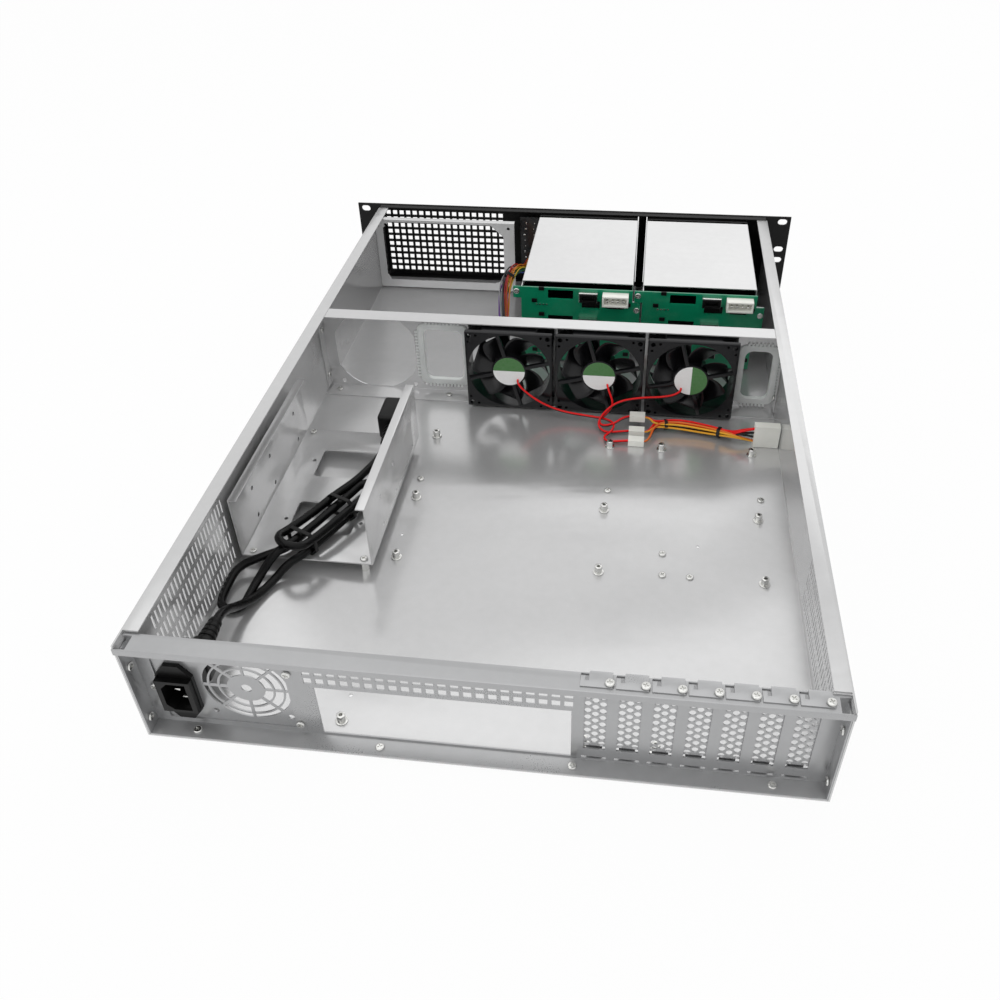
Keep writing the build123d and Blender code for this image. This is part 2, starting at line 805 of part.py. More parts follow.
def push_button(z, radius, sides):
    """A button with a collar behind the panel that keeps it in its hole."""
    with BuildPart() as button:
        with BuildSketch(upright(front + button_reach)):
            with Locations((button_x, z)):
                RegularPolygon(radius, sides)
        extrude(amount=button_reach)
        with BuildSketch(upright(panel_back + loose + button_travel)):
            with Locations((button_x, z)):
                RegularPolygon(radius + button_collar, pin_sides)
        extrude(amount=button_travel)
    return button.part


keep(push_button(power_button_z, power_radius, hub_sides), "power_button")
keep(push_button(reset_button_z, reset_radius, pin_sides), "reset_button")

# Drive trays: an open frame for a 3.5 inch drive behind a bezel with a lever
bezel_width = cage_width - 0.8
bezel_height = row_pitch - 0.4
bezel_depth = 15.0
rail_sheet = 1.2
tray_rail_height = 20.0
rail_outside = cage_width / 2 - cage_sheet - loose
tray_back = cage_rear - 3.0
lever_pocket_width = 88.0
lever_pocket_height = 15.0
lever_pocket_depth = 9.5
pivot_x = 38.0
pivot_y = front + 5.0
lever_height = 13.6
lever_barrel = 3.8
lever_sheet = 4.4
lever_pin = 1.5
tray_window_width = 70.0
tray_window_length = 96.0


tray_z = row_floors[0]
bezel_z = tray_z - 0.2 + bezel_height / 2
bezel_back = front + bezel_depth
lever_reach = pivot_x + lever_pocket_width / 2 - 3

with BuildPart() as drive_tray:
    with BuildSketch(upright(bezel_back)):
        with Locations((cage_x, bezel_z)):
            Rectangle(bezel_width, bezel_height)
    extrude(amount=bezel_depth)
    with BuildSketch(upright(front)):
        with Locations((cage_x, bezel_z)):
            Rectangle(lever_pocket_width, lever_pocket_height)
    extrude(amount=-lever_pocket_depth, mode=Mode.SUBTRACT)
    with BuildSketch(Plane.XY.offset(bezel_z - lever_pocket_height / 2)):
        with Locations((cage_x + pivot_x, pivot_y)):
            RegularPolygon(lever_pin, pin_sides)
    extrude(amount=lever_pocket_height)
    # rails and a floor with a wide opening behind the bezel
    with BuildSketch(upright(tray_back)):
        with Locations((cage_x, tray_z + seat + tray_rail_height / 2)):
            Rectangle(2 * rail_outside, tray_rail_height)
        with Locations((cage_x, tray_z + seat + tray_rail_height / 2 + rail_sheet)):
            Rectangle(2 * (rail_outside - rail_sheet), tray_rail_height, mode=Mode.SUBTRACT)
    extrude(amount=tray_back - bezel_back)
    with BuildSketch(Plane.XY.offset(tray_z + seat)):
        with Locations((cage_x, (tray_back + bezel_back) / 2)):
            Rectangle(tray_window_width, tray_window_length)
    extrude(amount=rail_sheet, mode=Mode.SUBTRACT)

# Its lever: a bar that swings out round the pin
with BuildPart() as tray_lever:
    with BuildSketch(Plane.XY.offset(bezel_z - lever_height / 2)):
        with Locations((cage_x + pivot_x, pivot_y)):
            RegularPolygon(lever_barrel, 12)
        with Locations((cage_x + pivot_x - lever_reach / 2, pivot_y)):
            Rectangle(lever_reach, lever_sheet)
        with Locations((cage_x + pivot_x, pivot_y)):
            RegularPolygon(lever_pin + axle_fit, pin_sides, major_radius=False, mode=Mode.SUBTRACT)
    extrude(amount=lever_height)

tray_places = [(x - cage_x, 0, z - tray_z) for x in cage_centres for z in reversed(row_floors)]
for index, shift in enumerate(tray_places):
    keep(drive_tray.part, f"drive_tray_{index + 1}", shift)
    keep(tray_lever.part, f"tray_lever_{index + 1}", shift)

# Drive bracket on four spacers, for two 3.5 inch drives or one 2.5 inch drive
channel_left = 209.2
channel_right = 105.4
channel_rear = behind(160.0)
channel_front = behind(326.0)
channel_lift = 9.0
channel_top = base + 65.5
channel_flange = 7.0
drive_hole_radius = 2.2
drive_hole_rows = [base + 18.3, base + 45.8]
drive_hole_ends = [199.0, 240.3, 300.6]
channel_low = floor_top + channel_lift
channel_x = (channel_left + channel_right) / 2
small_drive_width = 61.72
small_drive_length = 76.6
small_drive_y = behind(242.7)
window_width = 52.0
window_length = 37.5
window_corner = 3.0
window_centres = [behind(208.5), behind(278.5)]
spacer_x = 44.0
spacer_inset = 4.5

with BuildPart() as drive_bracket:
    left_mid = channel_left - tray_sheet / 2
    right_mid = channel_right + tray_sheet / 2
    top_mid = channel_top - tray_sheet / 2
    low_mid = channel_low + tray_sheet / 2
    with BuildSketch(upright(channel_rear)):
        with BuildLine():
            FilletPolyline(
                (channel_left - channel_flange, top_mid),
                (left_mid, top_mid),
                (left_mid, low_mid),
                (right_mid, low_mid),
                (right_mid, top_mid),
                (channel_right + channel_flange, top_mid),
                radius=fold(tray_sheet),
            )
        trace(line_width=tray_sheet)
    extrude(amount=channel_rear - channel_front)
    with BuildSketch(lengthwise(channel_right)):
        for z in drive_hole_rows:
            with Locations(*[(behind(d), z) for d in drive_hole_ends]):
                RegularPolygon(drive_hole_radius, 4)
    extrude(amount=channel_left - channel_right, mode=Mode.SUBTRACT)
    with BuildSketch(Plane.XY.offset(channel_low)):
        with Locations(*[(channel_x, y) for y in window_centres]):
            add(clipped(window_width, window_length, window_corner))
        with Locations((channel_x, small_drive_y)):
            with GridLocations(small_drive_width, small_drive_length, 2, 2):
                RegularPolygon(drive_hole_radius, 4)
    extrude(amount=tray_sheet, mode=Mode.SUBTRACT)

with BuildPart() as bracket_spacers:
    with BuildSketch(Plane.XY.offset(floor_top)):
        with Locations((channel_x, (channel_rear + channel_front) / 2)):
            with GridLocations(2 * spacer_x, channel_rear - channel_front - 2 * spacer_inset, 2, 2):
                RegularPolygon(3.2, 6)
    extrude(amount=channel_lift)

# Mainboard standoffs
board_holes = [
    (0, 0), (1, 0), (2, 0),
    (0, 1), (1, 1), (3, 1),
    (0, 2), (1, 2), (3, 2),
    (0, 3), (1, 3), (2, 3), (3, 3),
]
standoff_height = 6.5
standoff_radius = 2.9
standoff_thread = 1.25
standoff_places = [
    (board_column_1 - board_columns[column], behind(board_row_1 + board_rows[row]))
    for column, row in board_holes
]

with BuildPart() as board_standoffs:
    with BuildSketch(Plane.XY.offset(floor_top)):
        with Locations(*standoff_places):
            RegularPolygon(standoff_radius, 6)
    extrude(amount=standoff_height)
    with BuildSketch(Plane.XY.offset(floor_top + standoff_height)):
        with Locations(*standoff_places):
            Circle(standoff_thread)
    extrude(amount=1.5 - standoff_height, mode=Mode.SUBTRACT)

# Screws: heads of the one size that holds the case together
screw_head = 2.9
screw_height = 1.7
flange_face = flange_outside - thin_sheet
facing_left = Plane(origin=(-flange_face, 0, 0), x_dir=(0, 1, 0), z_dir=(1, 0, 0))
facing_right = Plane(origin=(flange_face, 0, 0), x_dir=(0, -1, 0), z_dir=(-1, 0, 0))
side_places = [(behind(6.5), base + 62.0), (behind(6.5), base + 13.0)]
wall_places = [(wall_rear_face + 5.0, base + 65.7), (wall_rear_face + 5.0, base + 16.3)]
rear_foot_places = [(x, behind(6.8)) for x in (182.9, 62.3, -59.7, -181.2)]
wall_foot_places = [(x, wall_rear_face + wall_foot / 2) for x in (201.9, 93.5)]
supply_foot_places = [(x, bracket_rear_face - bracket_foot / 2) for x in (178.3, 90.1)]
tab_places = [(x - slot_pitch / 2 + 2.6, behind(6.5)) for x in slot_centres]
plate_places = [(206.0, base + 36.3), (114.6, base + 10.8), (115.9, base + 59.4)]
ear_heights = [(1, base + 79.4), (-1, base + 63.7)]
ear_reach = cage_width / 2 + tab_width / 2 + 0.5
spacer_y = (channel_rear + channel_front) / 2
spacer_pitch_y = channel_rear - channel_front - 2 * spacer_inset
folded_feet = rear_foot_places + wall_foot_places + supply_foot_places
screw_sets = [
    (Plane.XY.offset(floor_top + seat + thin_sheet), folded_feet),
    (facing_left, side_places + wall_places),
    (facing_right, [(-y, z) for y, z in side_places + wall_places]),
    (Plane.XY.offset(shelf_top + seat + cover_sheet), tab_places),
    (upright(panel_rear_face), plate_places),
    (upright(board_rear_face), [(x + side * ear_reach, z) for x in cage_centres for side, z in ear_heights]),
    (
        Plane.XY.offset(channel_low + tray_sheet),
        [(channel_x + i * spacer_x, spacer_y + j * spacer_pitch_y / 2) for i in (-1, 1) for j in (-1, 1)],
    ),
]

with BuildPart() as case_screws:
    for plane, places in screw_sets:
        direction = -1 if plane.z_dir.Y < 0 else 1
        with BuildSketch(plane):
            with Locations(*places):
                RegularPolygon(screw_head, 6)
        extrude(amount=direction * screw_height)

# Leads: straight runs joined by tangent arcs
lead_sides = 6
bend_share = 0.45
tie_width = 3.0
tie_sheet = 1.2


def bend_radii(points):
    """The radius at each corner, set by the shorter run beside it."""
    places = [Vector(*point) for point in points]
    runs = [b - a for a, b in zip(places, places[1:])]
    return [
        bend_share * min(a.length, b.length) / math.tan(math.radians(a.get_angle(b) / 2))
        for a, b in zip(runs, runs[1:])
    ]


def lead(points, diameter, name):
    """A round lead along the points."""
    radii = bend_radii(points)
    with BuildPart() as cord:
        with BuildLine() as route:
            FilletPolyline(*points, radius=radii)
        path = route.wire()
        with BuildSketch(Plane(origin=path @ 0, z_dir=path % 0)):
            RegularPolygon(diameter / 2, lead_sides)
        sweep(path=path)
    print(name, "length", round(path.length, 1), "radii", [round(radius, 1) for radius in radii])
    return cord.part


def tie(start, end, inside):
    """A strap round the run between two places, halfway along it."""
    with BuildPart() as strap:
        along = Vector(*end) - Vector(*start)
        with BuildSketch(Plane(origin=(Vector(*start) + Vector(*end)) / 2, z_dir=along)):
            RegularPolygon(inside + tie_sheet, lead_sides, major_radius=False)
            RegularPolygon(inside, lead_sides, major_radius=False, mode=Mode.SUBTRACT)
        extrude(amount=tie_width / 2, both=True)
    return strap.part


# Mains lead: from a boot on the inlet to a tied hank, and on to a line socket
mains_diameter = 7.0
boot_width = 22.0
boot_height = 26.0
boot_rear = inlet_seat - inlet_back - loose
boot_front = behind(56.0)
boot_taper = 8.0
hank_length = 88.0
hank_width = 26.0
hank_height = 18.0
hank_corner = 5.0
hank_side = 7.0
hank_drop = 5.0
hank_run = 20.0
hank_tie_shares = (0.1, 0.62)
hank_low = floor_top + channel_lift + tray_sheet + tie_sheet + loose
hank_start = Vector(166.0, behind(160.0), hank_low + hank_height / 2)
hank_along = Vector(-0.41, -0.912, 0).normalized()
hank_across = Vector(0.912, -0.41, 0).normalized()
eye_length = 62.0
eye_width = 25.0
eye_start = Vector(174.0, behind(165.0), hank_start.Z)
eye_along = Vector(0.535, 0.845, 0)
socket_block = (24.0, 32.0, 24.0)
socket_rear = Vector(121.5, behind(299.0), 38.0)

with BuildPart() as mains_boot:
    with BuildSketch(upright(boot_rear)):
        with Locations((inlet_x, inlet_z)):
            Rectangle(boot_width, boot_height)
    extrude(amount=boot_rear - boot_front)
    chamfer(mains_boot.faces().sort_by(Axis.Y)[0].edges().sort_by(Axis.Z)[0], boot_taper)
    chamfer(mains_boot.edges().filter_by(Axis.Y).sort_by(Axis.Z)[-2:], 2.0)

hank_plane = Plane(origin=hank_start, x_dir=hank_across, z_dir=hank_along)
with BuildPart() as mains_hank:
    with BuildSketch(hank_plane):
        add(clipped(hank_width, hank_height, hank_corner))
    extrude(amount=hank_length)
    # the loose eye of the hank lies out towards the side wall
    eye_centre = eye_start + eye_along * (eye_length / 2)
    with BuildSketch(Plane(origin=eye_centre, x_dir=eye_along, z_dir=(0, 0, 1))):
        SlotOverall(eye_length, eye_width)
        SlotOverall(eye_length - 2 * mains_diameter, eye_width - 2 * mains_diameter, mode=Mode.SUBTRACT)
    extrude(amount=mains_diameter / 2, both=True)

lead_end = hank_start - hank_across * hank_side - Vector(0, 0, hank_drop)
lead_exit = (inlet_x, boot_front, inlet_z)
mains_points = [
    lead_exit,
    (inlet_x, boot_front - 20, inlet_z),
    (189, behind(104), 9.5),
    (178, behind(128), 7.5),
    lead_end - hank_along * hank_run,
    lead_end,
]
mains_points = [tuple(point) for point in mains_points]
hank_end = hank_start + hank_along * hank_length
tail_points = [
    tuple(hank_end),
    tuple(hank_end + hank_along * hank_run),
    tuple(socket_rear + Vector(0, 16, 0)),
    tuple(socket_rear),
]

with BuildPart() as mains_socket:
    with BuildSketch(upright(socket_rear.Y)):
        with Locations((socket_rear.X, socket_rear.Z)):
            add(clipped(socket_block[0], socket_block[2], 3.0))
    extrude(amount=socket_block[1])
    with BuildSketch(upright(socket_rear.Y - socket_block[1])):
        with Locations((socket_rear.X, socket_rear.Z)):
            for x, z in ((-7, 0), (0, 4), (7, 0)):
                with Locations((x, z)):
                    Rectangle(2.4, 6.0)
    extrude(amount=-12.0, mode=Mode.SUBTRACT)

# Fan leads: from each hub to a plug on the power loom
fan_lead_diameter = 2.4
hub_exit = fan_rear + fan_lead_diameter * 2.5
plug_size = (14.0, 8.0, 6.0)
plug_centres = [
    (-88.0, fan_rear + 16.4, 13.0),
    (-88.0, fan_rear + 28.9, floor_top + loose + plug_size[2] / 2),
    (-88.0, fan_rear + 43.9, floor_top + loose + plug_size[2] / 2),
]
fan_lead_points = [
    [
        (fan_centres[0] - 8, fan_rear, 35.0),
        (fan_centres[0] - 8, hub_exit, 35.0),
        (fan_centres[0] - 18, hub_exit, 24.0),
        (fan_centres[0] - 33, hub_exit + 1, 10.0),
        (fan_centres[0] - 52, hub_exit + 8, 5.0),
        (-44.0, fan_rear + 37.9, 4.2),
        (-64.0, plug_centres[2][1], plug_centres[2][2]),
        (plug_centres[2][0] + 7, plug_centres[2][1], plug_centres[2][2]),
    ],
    [
        (fan_centres[1] - 8, fan_rear, 35.0),
        (fan_centres[1] - 8, hub_exit, 35.0),
        (fan_centres[1] - 14, hub_exit + 1, 24.0),
        (plug_centres[0][0] + 16, plug_centres[0][1], plug_centres[0][2]),
        (plug_centres[0][0] + 7, plug_centres[0][1], plug_centres[0][2]),
    ],
    [
        (fan_centres[2] + 8, fan_rear, 35.0),
        (fan_centres[2] + 8, hub_exit, 35.0),
        (fan_centres[2] + 20, hub_exit, 29.0),
        (fan_centres[2] + 46, hub_exit + 2, 28.0),
        (fan_centres[2] + 71, hub_exit + 9, 22.0),
        (fan_centres[2] + 77, hub_exit + 18, 9.0),
        (plug_centres[1][0] + 22, plug_centres[1][1], plug_centres[1][2]),
        (plug_centres[1][0] + 7, plug_centres[1][1], plug_centres[1][2]),
    ],
]

with BuildPart() as fan_plugs:
    with Locations(*plug_centres):
        Box(*plug_size)

# Power loom: three branches gathered into one trunk, and its four-way plug
trunk_diameter = 6.0
power_plug_size = (22.0, 8.0, 21.6)
power_plug_centre = (-202.2, fan_rear + 33.9, floor_top + loose + power_plug_size[2] / 2)
trunk_points = [
    (-104.0, fan_rear + 20.9, 9.0),
    (-124.0, fan_rear + 17.9, 8.5),
    (-152.0, fan_rear + 21.9, 7.0),
    (-172.0, fan_rear + 30.9, 9.5),
    (-182.0, fan_rear + 33.9, 13.0),
    (-191.2, fan_rear + 33.9, 13.0),
]
branch_points = [
    [(x - 7, y, z), (x - 11, y, z), trunk_points[0]]
    for x, y, z in plug_centres
]

# Front loom: from the control board's header down to the floor
front_loom_diameter = 9.0
header_height = base + 32.0
header_reach = 8.0
front_loom_points = [
    (button_x, control_face + board_sheet + header_reach, header_height),
    (button_x, front + 42, header_height),
    (54, front + 70, 50),
    (62, front + 90, 38),
    (60, front + 112, 18),
    (58, front + 133, 8.5),
]
tie_runs = [
    (trunk_points[0], trunk_points[1], trunk_diameter / 2),
    (trunk_points[2], trunk_points[3], trunk_diameter / 2),
    (front_loom_points[3], front_loom_points[2], front_loom_diameter / 2),
    (front_loom_points[4], front_loom_points[5], front_loom_diameter / 2),
]

with BuildPart() as power_plug:
    with Locations(power_plug_centre):
        Box(*power_plug_size)
    mouth_x = power_plug_centre[0] - power_plug_size[0] / 2
    with BuildSketch(lengthwise(mouth_x)):
        with Locations((power_plug_centre[1], power_plug_centre[2])):
            with GridLocations(1, 5.08, 1, 4):
                Rectangle(3.4, 3.4)
    extrude(amount=12.0, mode=Mode.SUBTRACT)

with BuildPart() as cable_ties:
    for start, end, inside in tie_runs:
        add(tie(start, end, inside + seat))
    for share in hank_tie_shares:
        place = hank_start + hank_along * (share * hank_length)
        with BuildSketch(Plane(origin=place, x_dir=hank_across, z_dir=hank_along)):
            add(clipped(hank_width + 2 * tie_sheet, hank_height + 2 * tie_sheet, hank_corner))
            add(clipped(hank_width + 2 * seat, hank_height + 2 * seat, hank_corner), mode=Mode.SUBTRACT)
        extrude(amount=tie_width)

keep(lead(mains_points, mains_diameter, "mains_lead"), "mains_lead")
keep(lead(tail_points, mains_diameter, "mains_tail"), "mains_tail")
for index, points in enumerate(fan_lead_points):
    name = f"fan_lead_{index + 1}"
    keep(lead(points, fan_lead_diameter, name), name)
branches = [lead(points, fan_lead_diameter, "loom branch") for points in branch_points]
power_loom = lead(trunk_points, trunk_diameter, "power_loom").fuse(*branches)
keep(power_loom, "power_loom")
keep(lead(front_loom_points, front_loom_diameter, "front_loom"), "front_loom")

for name, piece in {
    "base_tray": base_tray,
    "rear_panel": rear_panel,
    "inlet_plate": inlet_plate,
    "mains_inlet": mains_inlet,
    "fan_wall": fan_wall,
    "port_trims": port_trims,
    "psu_bracket": psu_bracket,
    "front_panel": front_panel,
    "control_board": control_board,
    "drive_bracket": drive_bracket,
    "bracket_spacers": bracket_spacers,
    "board_standoffs": board_standoffs,
    "case_screws": case_screws,
    "mains_boot": mains_boot,
    "mains_hank": mains_hank,
    "mains_socket": mains_socket,
    "fan_plugs": fan_plugs,
    "power_plug": power_plug,
    "cable_ties": cable_ties,
}.items():
    keep(piece.part, name)
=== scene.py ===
import math
import random

import bpy
from mathutils import Matrix, Vector


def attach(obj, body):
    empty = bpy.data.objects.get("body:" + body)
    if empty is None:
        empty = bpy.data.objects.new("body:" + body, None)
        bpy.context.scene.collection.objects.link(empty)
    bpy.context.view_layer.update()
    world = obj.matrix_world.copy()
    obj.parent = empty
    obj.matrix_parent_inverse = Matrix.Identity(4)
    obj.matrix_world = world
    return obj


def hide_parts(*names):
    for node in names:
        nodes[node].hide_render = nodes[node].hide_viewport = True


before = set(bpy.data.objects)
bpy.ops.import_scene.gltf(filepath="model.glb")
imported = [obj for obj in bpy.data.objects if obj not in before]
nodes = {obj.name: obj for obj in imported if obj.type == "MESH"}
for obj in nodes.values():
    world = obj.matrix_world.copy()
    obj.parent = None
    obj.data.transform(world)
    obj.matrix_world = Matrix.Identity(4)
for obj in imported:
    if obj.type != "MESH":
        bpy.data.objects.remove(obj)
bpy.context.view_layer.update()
random.seed(7)

MM = 0.001
REAR = 330.0
BASE = 1.05
FLOOR = 2.25
FAN_Z = BASE + 43.0
FANS = (31.9, -50.9, -133.7)
CAGES = (-22.6, -140.0)


def behind(distance):
    """Row Y of a place measured forward from the rear edge."""
    return REAR - distance


# ---- shader nodes ----
class Link:
    """A socket that takes part in sums."""

    def __init__(self, paint, socket):
        self.paint = paint
        self.socket = socket

    def _do(self, how, first, second):
        return self.paint.node("ShaderNodeMath", {"operation": how}, {0: first, 1: second})

    def __add__(self, other):
        return self._do("ADD", self, other)

    def __radd__(self, other):
        return self._do("ADD", other, self)

    def __sub__(self, other):
        return self._do("SUBTRACT", self, other)

    def __rsub__(self, other):
        return self._do("SUBTRACT", other, self)

    def __mul__(self, other):
        return self._do("MULTIPLY", self, other)

    def __rmul__(self, other):
        return self._do("MULTIPLY", other, self)

    def __truediv__(self, other):
        return self._do("DIVIDE", self, other)

    def __gt__(self, other):
        return self._do("GREATER_THAN", self, other)

    def __lt__(self, other):
        return self._do("LESS_THAN", self, other)


class Paint:
    """A material that is being made."""

    def __init__(self, name):
        self.material = bpy.data.materials.new(name)
        self.material.use_nodes = True
        self.tree = self.material.node_tree
        self.shader = self.tree.nodes["Principled BSDF"]
        self.place = self.node("ShaderNodeTexCoord", {}, {}, "Object")

    def node(self, kind, settings, inputs, output=0):
        """Add a node, set it, feed its sockets and give back one output."""
        made = self.tree.nodes.new(kind)
        for key, value in settings.items():
            if key == "stops":
                self._stops(made.color_ramp, value)
            else:
                setattr(made, key, value)
        for key, value in inputs.items():
            socket = made.inputs[key]
            if isinstance(value, Link):
                self.tree.links.new(value.socket, socket)
            else:
                socket.default_value = value
        return Link(self, made.outputs[output])

    @staticmethod
    def _stops(ramp, stops):
        while len(ramp.elements) < len(stops):
            ramp.elements.new(0.5)
        for element, (place, colour) in zip(ramp.elements, stops):
            element.position = place
            element.color = colour

    def set(self, **values):
        """Plain values or links on the surface shader's sockets."""
        for key, value in values.items():
            socket = self.shader.inputs[key.replace("_", " ")]
            if isinstance(value, Link):
                self.tree.links.new(value.socket, socket)
            else:
                socket.default_value = value
        return self

    def noise(self, scale, detail=3.0, roughness=0.5, stretch=None, distortion=0.0):
        """A noise on the piece's own place, stretched along an axis if asked."""
        where = self.place
        if stretch:
            where = self.node("ShaderNodeMapping", {}, {"Vector": where, "Scale": stretch})
        return self.node(
            "ShaderNodeTexNoise",
            {},
            {
                "Vector": where,
                "Scale": scale,
                "Detail": detail,
                "Roughness": roughness,
                "Distortion": distortion,
            },
        )

    def ramp(self, value, *stops):
        return self.node("ShaderNodeValToRGB", {"stops": stops}, {"Fac": value})

    def between(self, share, first, second):
        """A colour between two colours."""
        return self.node(
            "ShaderNodeMix", {"data_type": "RGBA"}, {0: share, 6: first, 7: second}, 2
        )

    def bump(self, height, strength, distance=0.0004):
        return self.node(
            "ShaderNodeBump", {}, {"Height": height, "Strength": strength, "Distance": distance}
        )

    def axes(self):
        """The three coordinates of the piece's own place."""
        split = self.node("ShaderNodeSeparateXYZ", {}, {"Vector": self.place})
        outputs = split.socket.node.outputs
        return [Link(self, outputs[i]) for i in range(3)]


def rgb(*levels):
    return (*levels, 1.0)


def shifted(tone, share):
    """A tone made darker or lighter by a share of itself."""
    return [min(1, c * (1 + share)) for c in tone]


def sheet_steel(
    name, tone, rough, cloud=0.05, grain=(1, 1, 1), grain_scale=1400, waves=0.0, metal=1.0
):
    """Galvanised or brushed sheet: soft clouds in tone and gloss, fine grain, slow waves."""
    p = Paint(name)
    clouds = p.noise(9, 4, 0.55, distortion=0.6)
    spangle = p.noise(140, 2, 0.5)
    fine = p.noise(grain_scale, 2, 0.6, stretch=grain)
    drift = p.noise(3.2, 2, 0.45, stretch=(1, 2.4, 1), distortion=2.2)
    shade = clouds * 0.4 + spangle * 0.2 + fine * 0.15 + drift * 0.25
    dark, light = rgb(*shifted(tone, -cloud)), rgb(*shifted(tone, cloud))
    p.set(Base_Color=p.ramp(shade, (0.35, dark), (0.65, light)), Metallic=metal)
    p.set(Roughness=clouds * 0.12 + fine * 0.08 + drift * 0.10 + (rough - 0.15))
    rise = fine * 0.004 + drift * waves
    p.set(Normal=p.bump(rise, 0.6, 0.0003 + 0.004 * waves))
    return p.material


def plastic(name, tone, rough, grain=0.12, grain_scale=2200, coat=0.0, spread=0.12, gloss=0.5):
    """Moulded plastic with a fine sparked grain."""
    p = Paint(name)
    fine = p.noise(grain_scale, 2, 0.6)
    broad = p.noise(30, 3, 0.5)
    dark, light = rgb(*shifted(tone, -spread)), rgb(*shifted(tone, spread))
    colour = p.ramp(broad, (0.3, dark), (0.7, light))
    p.set(Base_Color=colour, Roughness=fine * 0.12 + broad * 0.08 + (rough - 0.1), Coat_Weight=coat)
    p.shader.inputs["Specular IOR Level"].default_value = gloss
    p.set(Normal=p.bump(fine, grain, 0.0002))
    return p.material


def powder_coat(name, tone):
    """Fine-textured black paint."""
    p = Paint(name)
    pebble = p.node("ShaderNodeTexVoronoi", {}, {"Vector": p.place, "Scale": 1500.0})
    broad = p.noise(20, 2, 0.5)
    p.set(Base_Color=p.ramp(broad, (0.3, rgb(*tone)), (0.7, rgb(*[c * 1.35 for c in tone]))))
    p.set(Roughness=pebble * 0.15 + 0.42, Normal=p.bump(pebble, 0.25, 0.0003))
    p.shader.inputs["Specular IOR Level"].default_value = 0.2
    return p.material


steel = sheet_steel("galvanised_sheet", (0.65, 0.65, 0.652), 0.21, 0.05, waves=0.5, metal=0.58)
# Rear panel, slot covers and grille plate: the same galvanised sheet with a lower tone, which is
# painted shade for sheet that faces the rear
panel_steel_painted_shade = sheet_steel("rear_sheet_painted_shade", (0.44, 0.443, 0.448), 0.30, 0.06, waves=0.2, metal=0.65)
cage_steel = sheet_steel("brushed_cage", (0.74, 0.74, 0.74), 0.48, 0.05, (1, 30, 1), 260)
bright = sheet_steel("plated_screw", (0.72, 0.72, 0.70), 0.2, 0.03)
black_paint = powder_coat("black_powder_coat", (0.004, 0.004, 0.004))
black_plastic = plastic("black_plastic", (0.004, 0.004, 0.004), 0.36, gloss=0.22)
fan_plastic = plastic("fan_plastic", (0.005, 0.005, 0.006), 0.24, 0.05, gloss=0.38)
white_plastic = plastic("white_plastic", (0.88, 0.88, 0.82), 0.40)
trim_plastic = plastic("pale_trim", (0.72, 0.74, 0.73), 0.30, 0.05)
board_green = plastic("board_lacquer", (0.001, 0.23, 0.11), 0.30, 0.08, 900, 0.4)
board_black = plastic("dark_board_lacquer", (0.010, 0.011, 0.012), 0.30, 0.08, 900, 0.4)
cord_black = plastic("lead_sheath", (0.002, 0.002, 0.002), 0.26, 0.1, 1600, gloss=0.2)
strap_black = plastic("strap_nylon", (0.005, 0.005, 0.005), 0.42, gloss=0.3)
wire_red = plastic("wire_red", (0.80, 0.002, 0.004), 0.34, 0.05, gloss=0.35)
wire_yellow = plastic("wire_yellow", (0.75, 0.36, 0.01), 0.34, 0.05)
wire_orange = plastic("wire_orange", (0.72, 0.14, 0.01), 0.34, 0.05)
wire_black = plastic("wire_black", (0.006, 0.006, 0.006), 0.34, 0.05, gloss=0.35)


def paint_node(name, *materials):
    """Give a frame node its finish."""
    mesh = nodes[name].data
    mesh.materials.clear()
    for material in materials:
        mesh.materials.append(material)


finishes = {
    "base_tray": steel,
    "rear_panel": panel_steel_painted_shade,
    "inlet_plate": panel_steel_painted_shade,
    "fan_wall": steel,
    "psu_bracket": steel,
    "drive_bracket": steel,
    "mains_inlet": black_plastic,
    "port_trims": trim_plastic,
    "front_panel": black_paint,
    "control_board": board_black,
    "power_button": black_plastic,
    "reset_button": black_plastic,
    "bracket_spacers": bright,
    "board_standoffs": bright,
    "case_screws": bright,
    "mains_boot": black_plastic,
    "mains_lead": cord_black,
    "mains_hank": cord_black,
    "mains_tail": cord_black,
    "mains_socket": black_plastic,
    "cable_ties": strap_black,
    "fan_plugs": white_plastic,
    "power_plug": white_plastic,
    "power_loom": wire_yellow,
    "front_loom": wire_black,
}
for name in nodes:
    stem = name.rstrip("0123456789").rstrip("_")
    finish = {
        "slot_cover": panel_steel_painted_shade,
        "fan_frame": fan_plastic,
        "fan_rotor": fan_plastic,
        "fan_lead": wire_red,
        "drive_cage": cage_steel,
        "backplane": board_green,
        "backplane_sockets": black_plastic,
        "drive_tray": black_plastic,
        "tray_lever": black_plastic,
    }.get(stem)
    paint_node(name, finishes.get(name, finish))


# ---- modelling ----
def nothing_selected():
    if bpy.context.object and bpy.context.object.mode == "EDIT":
        bpy.ops.object.mode_set(mode="OBJECT")
    bpy.ops.object.select_all(action="DESELECT")


def settle(obj, name, material=None):
    """Name a piece and put its place into its mesh."""
    obj.name = name
    obj.data.name = name
    nothing_selected()
    obj.select_set(True)
    bpy.context.view_layer.objects.active = obj
    bpy.ops.object.transform_apply(location=True, rotation=True, scale=True)
    if material:
        obj.data.materials.clear()
        obj.data.materials.append(material)
    return obj


def line(name, splines, radius, material, resolution=6):
    """Round wires along smooth splines of points in millimetres."""
    curve = bpy.data.curves.new(name, "CURVE")
    curve.dimensions = "3D"
    curve.bevel_depth = radius * MM
    curve.bevel_resolution = 3
    curve.resolution_u = resolution
    curve.use_fill_caps = True
    for points in splines:
        spline = curve.splines.new("NURBS")
        spline.points.add(len(points) - 1)
        for place, point in zip(spline.points, points):
            place.co = (point[0] * MM, point[1] * MM, point[2] * MM, 1.0)
        spline.order_u = 3
        spline.use_endpoint_u = True
    obj = bpy.data.objects.new(name, curve)
    bpy.context.scene.collection.objects.link(obj)
    obj.data.materials.append(material)
    return obj


# ---- modelling by hand operations ----
def place(point):
    """Millimetres to metres."""
    return Vector(point) * MM


